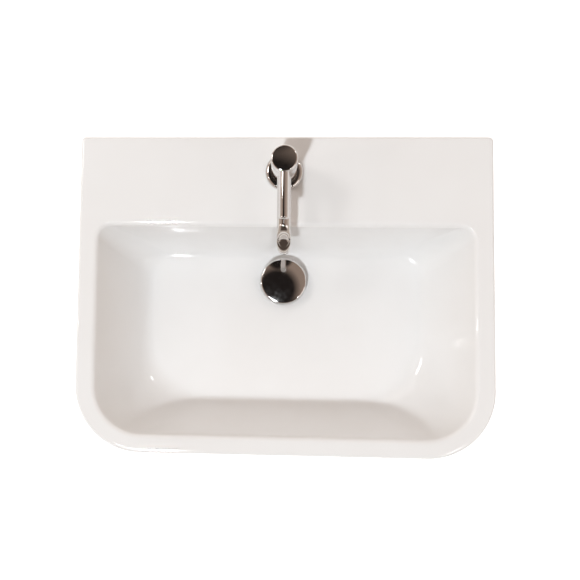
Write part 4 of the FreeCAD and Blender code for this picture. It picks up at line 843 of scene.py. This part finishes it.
def build_waste_body(edge_steps=8):
    """The flange with its shallow dish, the threaded tail with its slots, and the cross inside."""
    dish = [(TAIL_BORE, 2.2), (18.5, 2.35), (29.3, 3.95), (29.7, FLANGE_TOP)]
    edge = []
    for step in range(edge_steps + 1):
        turn = math.pi / 2 * step / edge_steps
        radius = FLANGE_RADIUS - FLANGE_EDGE * (1 - math.sin(turn))
        edge.append((radius, FLANGE_TOP - FLANGE_EDGE + FLANGE_EDGE * math.cos(turn)))
    flange = [*dish, *edge, (FLANGE_RADIUS, FLANGE_LOW), (TAIL_RADIUS, FLANGE_LOW), (TAIL_RADIUS, -10)]
    thread = (TAIL_RADIUS, TAIL_PITCH, TAIL_THREAD)
    rings = turned_rings(WASTE, flange)
    rings += threaded_rings(WASTE, *thread, -38, GROOVE_TOP)
    rings += turned_rings(WASTE, [(GROOVE_RADIUS, GROOVE_TOP), (GROOVE_RADIUS, GROOVE_LOW)])
    rings += threaded_rings(WASTE, *thread, GROOVE_LOW, TAIL_END + 1)
    rings += turned_rings(WASTE, [(20.4, TAIL_END), (18.6, TAIL_END), (TAIL_BORE, TAIL_END + 0.4)])
    tail = skin(rings, closed=True)
    body = add_piece("waste_body_chrome", *tail, ROOT, "waste_body", "chrome")
    low, high = SEAT - 34, SEAT - 18
    slots = [
        box_shape((-30, WASTE_Y - 5, low), (30, WASTE_Y + 5, high)),
        box_shape((-5, WASTE_Y - 30, low), (5, WASTE_Y + 30, high)),
    ]
    carve(body, slots)


def build_cross():
    """Four arms from the tail's wall to the hub that holds the plug's guide."""
    diagonal = math.cos(math.pi / 4)
    near, far, wide = 4.8 * diagonal, 19.575 * diagonal, 1.5 * diagonal
    arms = []
    for side in (1, -1):
        for start in (-1, 1):
            outline = [
                (start * near + wide, side * (start * near - wide) + WASTE_Y),
                (start * near - wide, side * (start * near + wide) + WASTE_Y),
                (start * far - wide, side * (start * far + wide) + WASTE_Y),
                (start * far + wide, side * (start * far - wide) + WASTE_Y),
            ]
            arms.append(prism(outline, SEAT + CROSS_LOW, SEAT + CROSS_TOP))
    hub = lathe(tube_wall(GUIDE_RADIUS, 4.05, CROSS_LOW, CROSS_TOP), WASTE, segments=64)
    add_piece("waste_cross", *join_shapes(arms + [hub]), ROOT, None, "chrome")


def build_nut(name, node, place, flats, bore, low, high):
    """A hexagonal nut with its corners turned off."""
    corner = flats / 2 / math.cos(math.pi / 6)
    angles = [k * math.pi / 3 for k in range(6)]
    outline = [(corner * math.cos(a) + place[0], corner * math.sin(a) + place[1]) for a in angles]
    nut = add_piece(name, *prism(outline, place[2] + low, place[2] + high), ROOT, node, "brass")
    outside, inside, bevel = corner + 0.01, flats / 2 - 0.2, corner * 0.09
    turned = [
        (bore, low, 0.3),
        (inside, low, 0),
        (outside, low + bevel, 0),
        (outside, high - bevel, 0),
        (inside, high, 0),
        (bore, high, 0.3),
    ]
    carve(nut, [lathe(turned, place, segments=96)], "INTERSECT", angle=25)


def build_stud():
    """The stud's threaded shank between its two plain ends; 0.01 stands for the axis."""
    rings = turned_rings(STUD, [(0.01, STUD_TOP), (STUD_CORE, STUD_TOP)], 48)
    thread = (STUD_RADIUS, STUD_PITCH, STUD_THREAD)
    rings += threaded_rings(STUD, *thread, STUD_TOP - 0.4, STUD_END + 0.4, segments=48, steps=5)
    rings += turned_rings(STUD, [(STUD_CORE, STUD_END), (0.01, STUD_END)], 48)
    add_piece("tap_stud_threaded", *skin(rings), ROOT, "tap_stud", "steel")


build_waste_body()
build_cross()
build_nut("waste_back_nut_brass", "waste_back_nut", WASTE, 55, 21, -61, -52)
build_nut("tap_nut_brass", "tap_nut", STUD, 13, STUD_BORE, -35, -21)
build_stud()

# the remaining solids keep their shape and take the slot's material
record_slots = {part["node"]: part["material_slot"] for part in frame["record"]["subparts"]}
for node, thing in frame["nodes"].items():
    thing.data.materials.clear()
    thing.data.materials.append(MATERIALS[record_slots[node]])
    thing.data.shade_smooth()
    thing.data.set_sharp_from_angle(angle=math.radians(35))

# ---------------------------------------------------------------- stage, light and camera
scene = bpy.context.scene
scene.view_settings.view_transform = "Standard"
scene.view_settings.look = "None"

floor_mesh = bpy.data.meshes.new("floor")
FLOOR_HALF, FLOOR_LEVEL = 12, -0.85
floor_corners = [(-1, -1), (1, -1), (1, 1), (-1, 1)]
floor_mesh.from_pydata(
    [(x * FLOOR_HALF, y * FLOOR_HALF, FLOOR_LEVEL) for x, y in floor_corners],
    [],
    [(0, 1, 2, 3)],
)
floor = bpy.data.objects.new("floor", floor_mesh)
scene.collection.objects.link(floor)
floor_material, floor_shader = new_material("floor_white", (0.85, 0.85, 0.85), 0.9)
floor_shader.inputs["Emission Color"].default_value = (1, 1, 1, 1)
floor_shader.inputs["Emission Strength"].default_value = 0.75
floor_mesh.materials.append(floor_material)

world = bpy.data.worlds.new("studio")
world.use_nodes = True
scene.world = world
nodes, links = world.node_tree.nodes, world.node_tree.links
place = nodes.new("ShaderNodeTexCoord")
split = nodes.new("ShaderNodeSeparateXYZ")
links.new(place.outputs["Generated"], split.inputs["Vector"])
sky = nodes.new("ShaderNodeValToRGB")
links.new(split.outputs["Z"], sky.inputs["Fac"])
# the sky's colours by height, from the horizon to straight up
SKY = {
    0.0: (1.05, 0.93, 0.81, 1),
    0.35: (1.01, 0.85, 0.73, 1),
    0.75: (0.68, 0.51, 0.42, 1),
    1.0: (0.54, 0.41, 0.33, 1),
}
stops = sky.color_ramp.elements
stops[0].position, stops[0].color = 0.0, SKY[0.0]
stops[1].position, stops[1].color = 1.0, SKY[1.0]
for height in (0.35, 0.75):
    stops.new(height).color = SKY[height]


def dark_lobe(direction, inner, outer):
    """1 within the inner angle of a direction, 0 beyond the outer one."""
    dot = nodes.new("ShaderNodeVectorMath")
    dot.operation = "DOT_PRODUCT"
    dot.inputs[1].default_value = Vector(direction).normalized()
    links.new(place.outputs["Generated"], dot.inputs[0])
    span = nodes.new("ShaderNodeMapRange")
    span.inputs["From Min"].default_value = math.cos(math.radians(outer))
    span.inputs["From Max"].default_value = math.cos(math.radians(inner))
    links.new(dot.outputs["Value"], span.inputs["Value"])
    return span.outputs["Result"]


def darken(colour, factor, dark):
    shade = nodes.new("ShaderNodeMixRGB")
    shade.inputs["Color2"].default_value = (*dark, 1)
    links.new(factor, shade.inputs["Fac"])
    links.new(colour, shade.inputs["Color1"])
    return shade.outputs["Color"]


# dark parts of the room that the chrome mirrors: direction, inner and outer angle, colour
DARK_PARTS = [
    ((0, -0.75, 0.66), 30, 38, (0.15, 0.11, 0.09)),
    ((-0.11, -0.1, 1), 16, 24, (0.03, 0.024, 0.022)),
    ((-0.07, 0.45, 0.89), 12, 15, (0.03, 0.024, 0.022)),
]
surroundings = sky.outputs["Color"]
for direction, inner, outer, dark in DARK_PARTS:
    surroundings = darken(surroundings, dark_lobe(direction, inner, outer), dark)
links.new(surroundings, nodes["Background"].inputs["Color"])
nodes["Background"].inputs["Strength"].default_value = 0.575


def add_light(name, place, size, power, colour=(1, 1, 1), target=(0, -0.2, 0.05)):
    """A rectangular soft light that faces a target; size is its width and height in metres."""
    lamp = bpy.data.lights.new(name, "AREA")
    lamp.shape = "RECTANGLE"
    lamp.size, lamp.size_y = size
    lamp.energy = power
    lamp.color = colour
    thing = bpy.data.objects.new(name, lamp)
    scene.collection.objects.link(thing)
    thing.location = place
    thing.rotation_euler = (Vector(target) - Vector(place)).to_track_quat("-Z", "Y").to_euler()


WARM = (1, 0.98, 0.96)
add_light("key", (-1.11, -2.48, 5.486), (0.33, 0.33), 174, (0.93, 1, 1.05))
add_light("strip_left", (-1.6, -0.3, 1.3), (0.03, 0.5), 1.3, (1, 0.98, 0.95))
add_light("window_front", (-0.5, -0.9, 1.95), (0.36, 0.09), 2.0)
add_light("window_corner", (0.7, -0.9, 1.95), (0.1, 0.07), 0.8)
add_light("window_back", (-1.25, 0.45, 1.8), (0.45, 0.35), 6, WARM)
add_light("window_right", (1.3, 1.0, 1.3), (0.15, 0.25), 1.0, WARM)
add_light("fill_right", (0.9, -0.7, 0.9), (0.6, 0.6), 1.2, (1, 0.97, 0.95), target=(0.15, -0.35, 0.05))
add_light("fill_back", (-0.9, 1.5, 1.5), (1.4, 0.8), 4.0, WARM)

camera_data = bpy.data.cameras.new("camera")
camera_data.lens = 47.02
camera_data.sensor_width = 36
camera_data.shift_x = 0.083
camera_data.shift_y = -0.0662
camera_data.clip_end = 50
camera = bpy.data.objects.new("camera", camera_data)
scene.collection.objects.link(camera)
camera.location = (0.0005, -0.2236, 1.075)
camera.rotation_euler = (math.radians(3.99), math.radians(3.14), math.radians(0.71))
scene.camera = camera
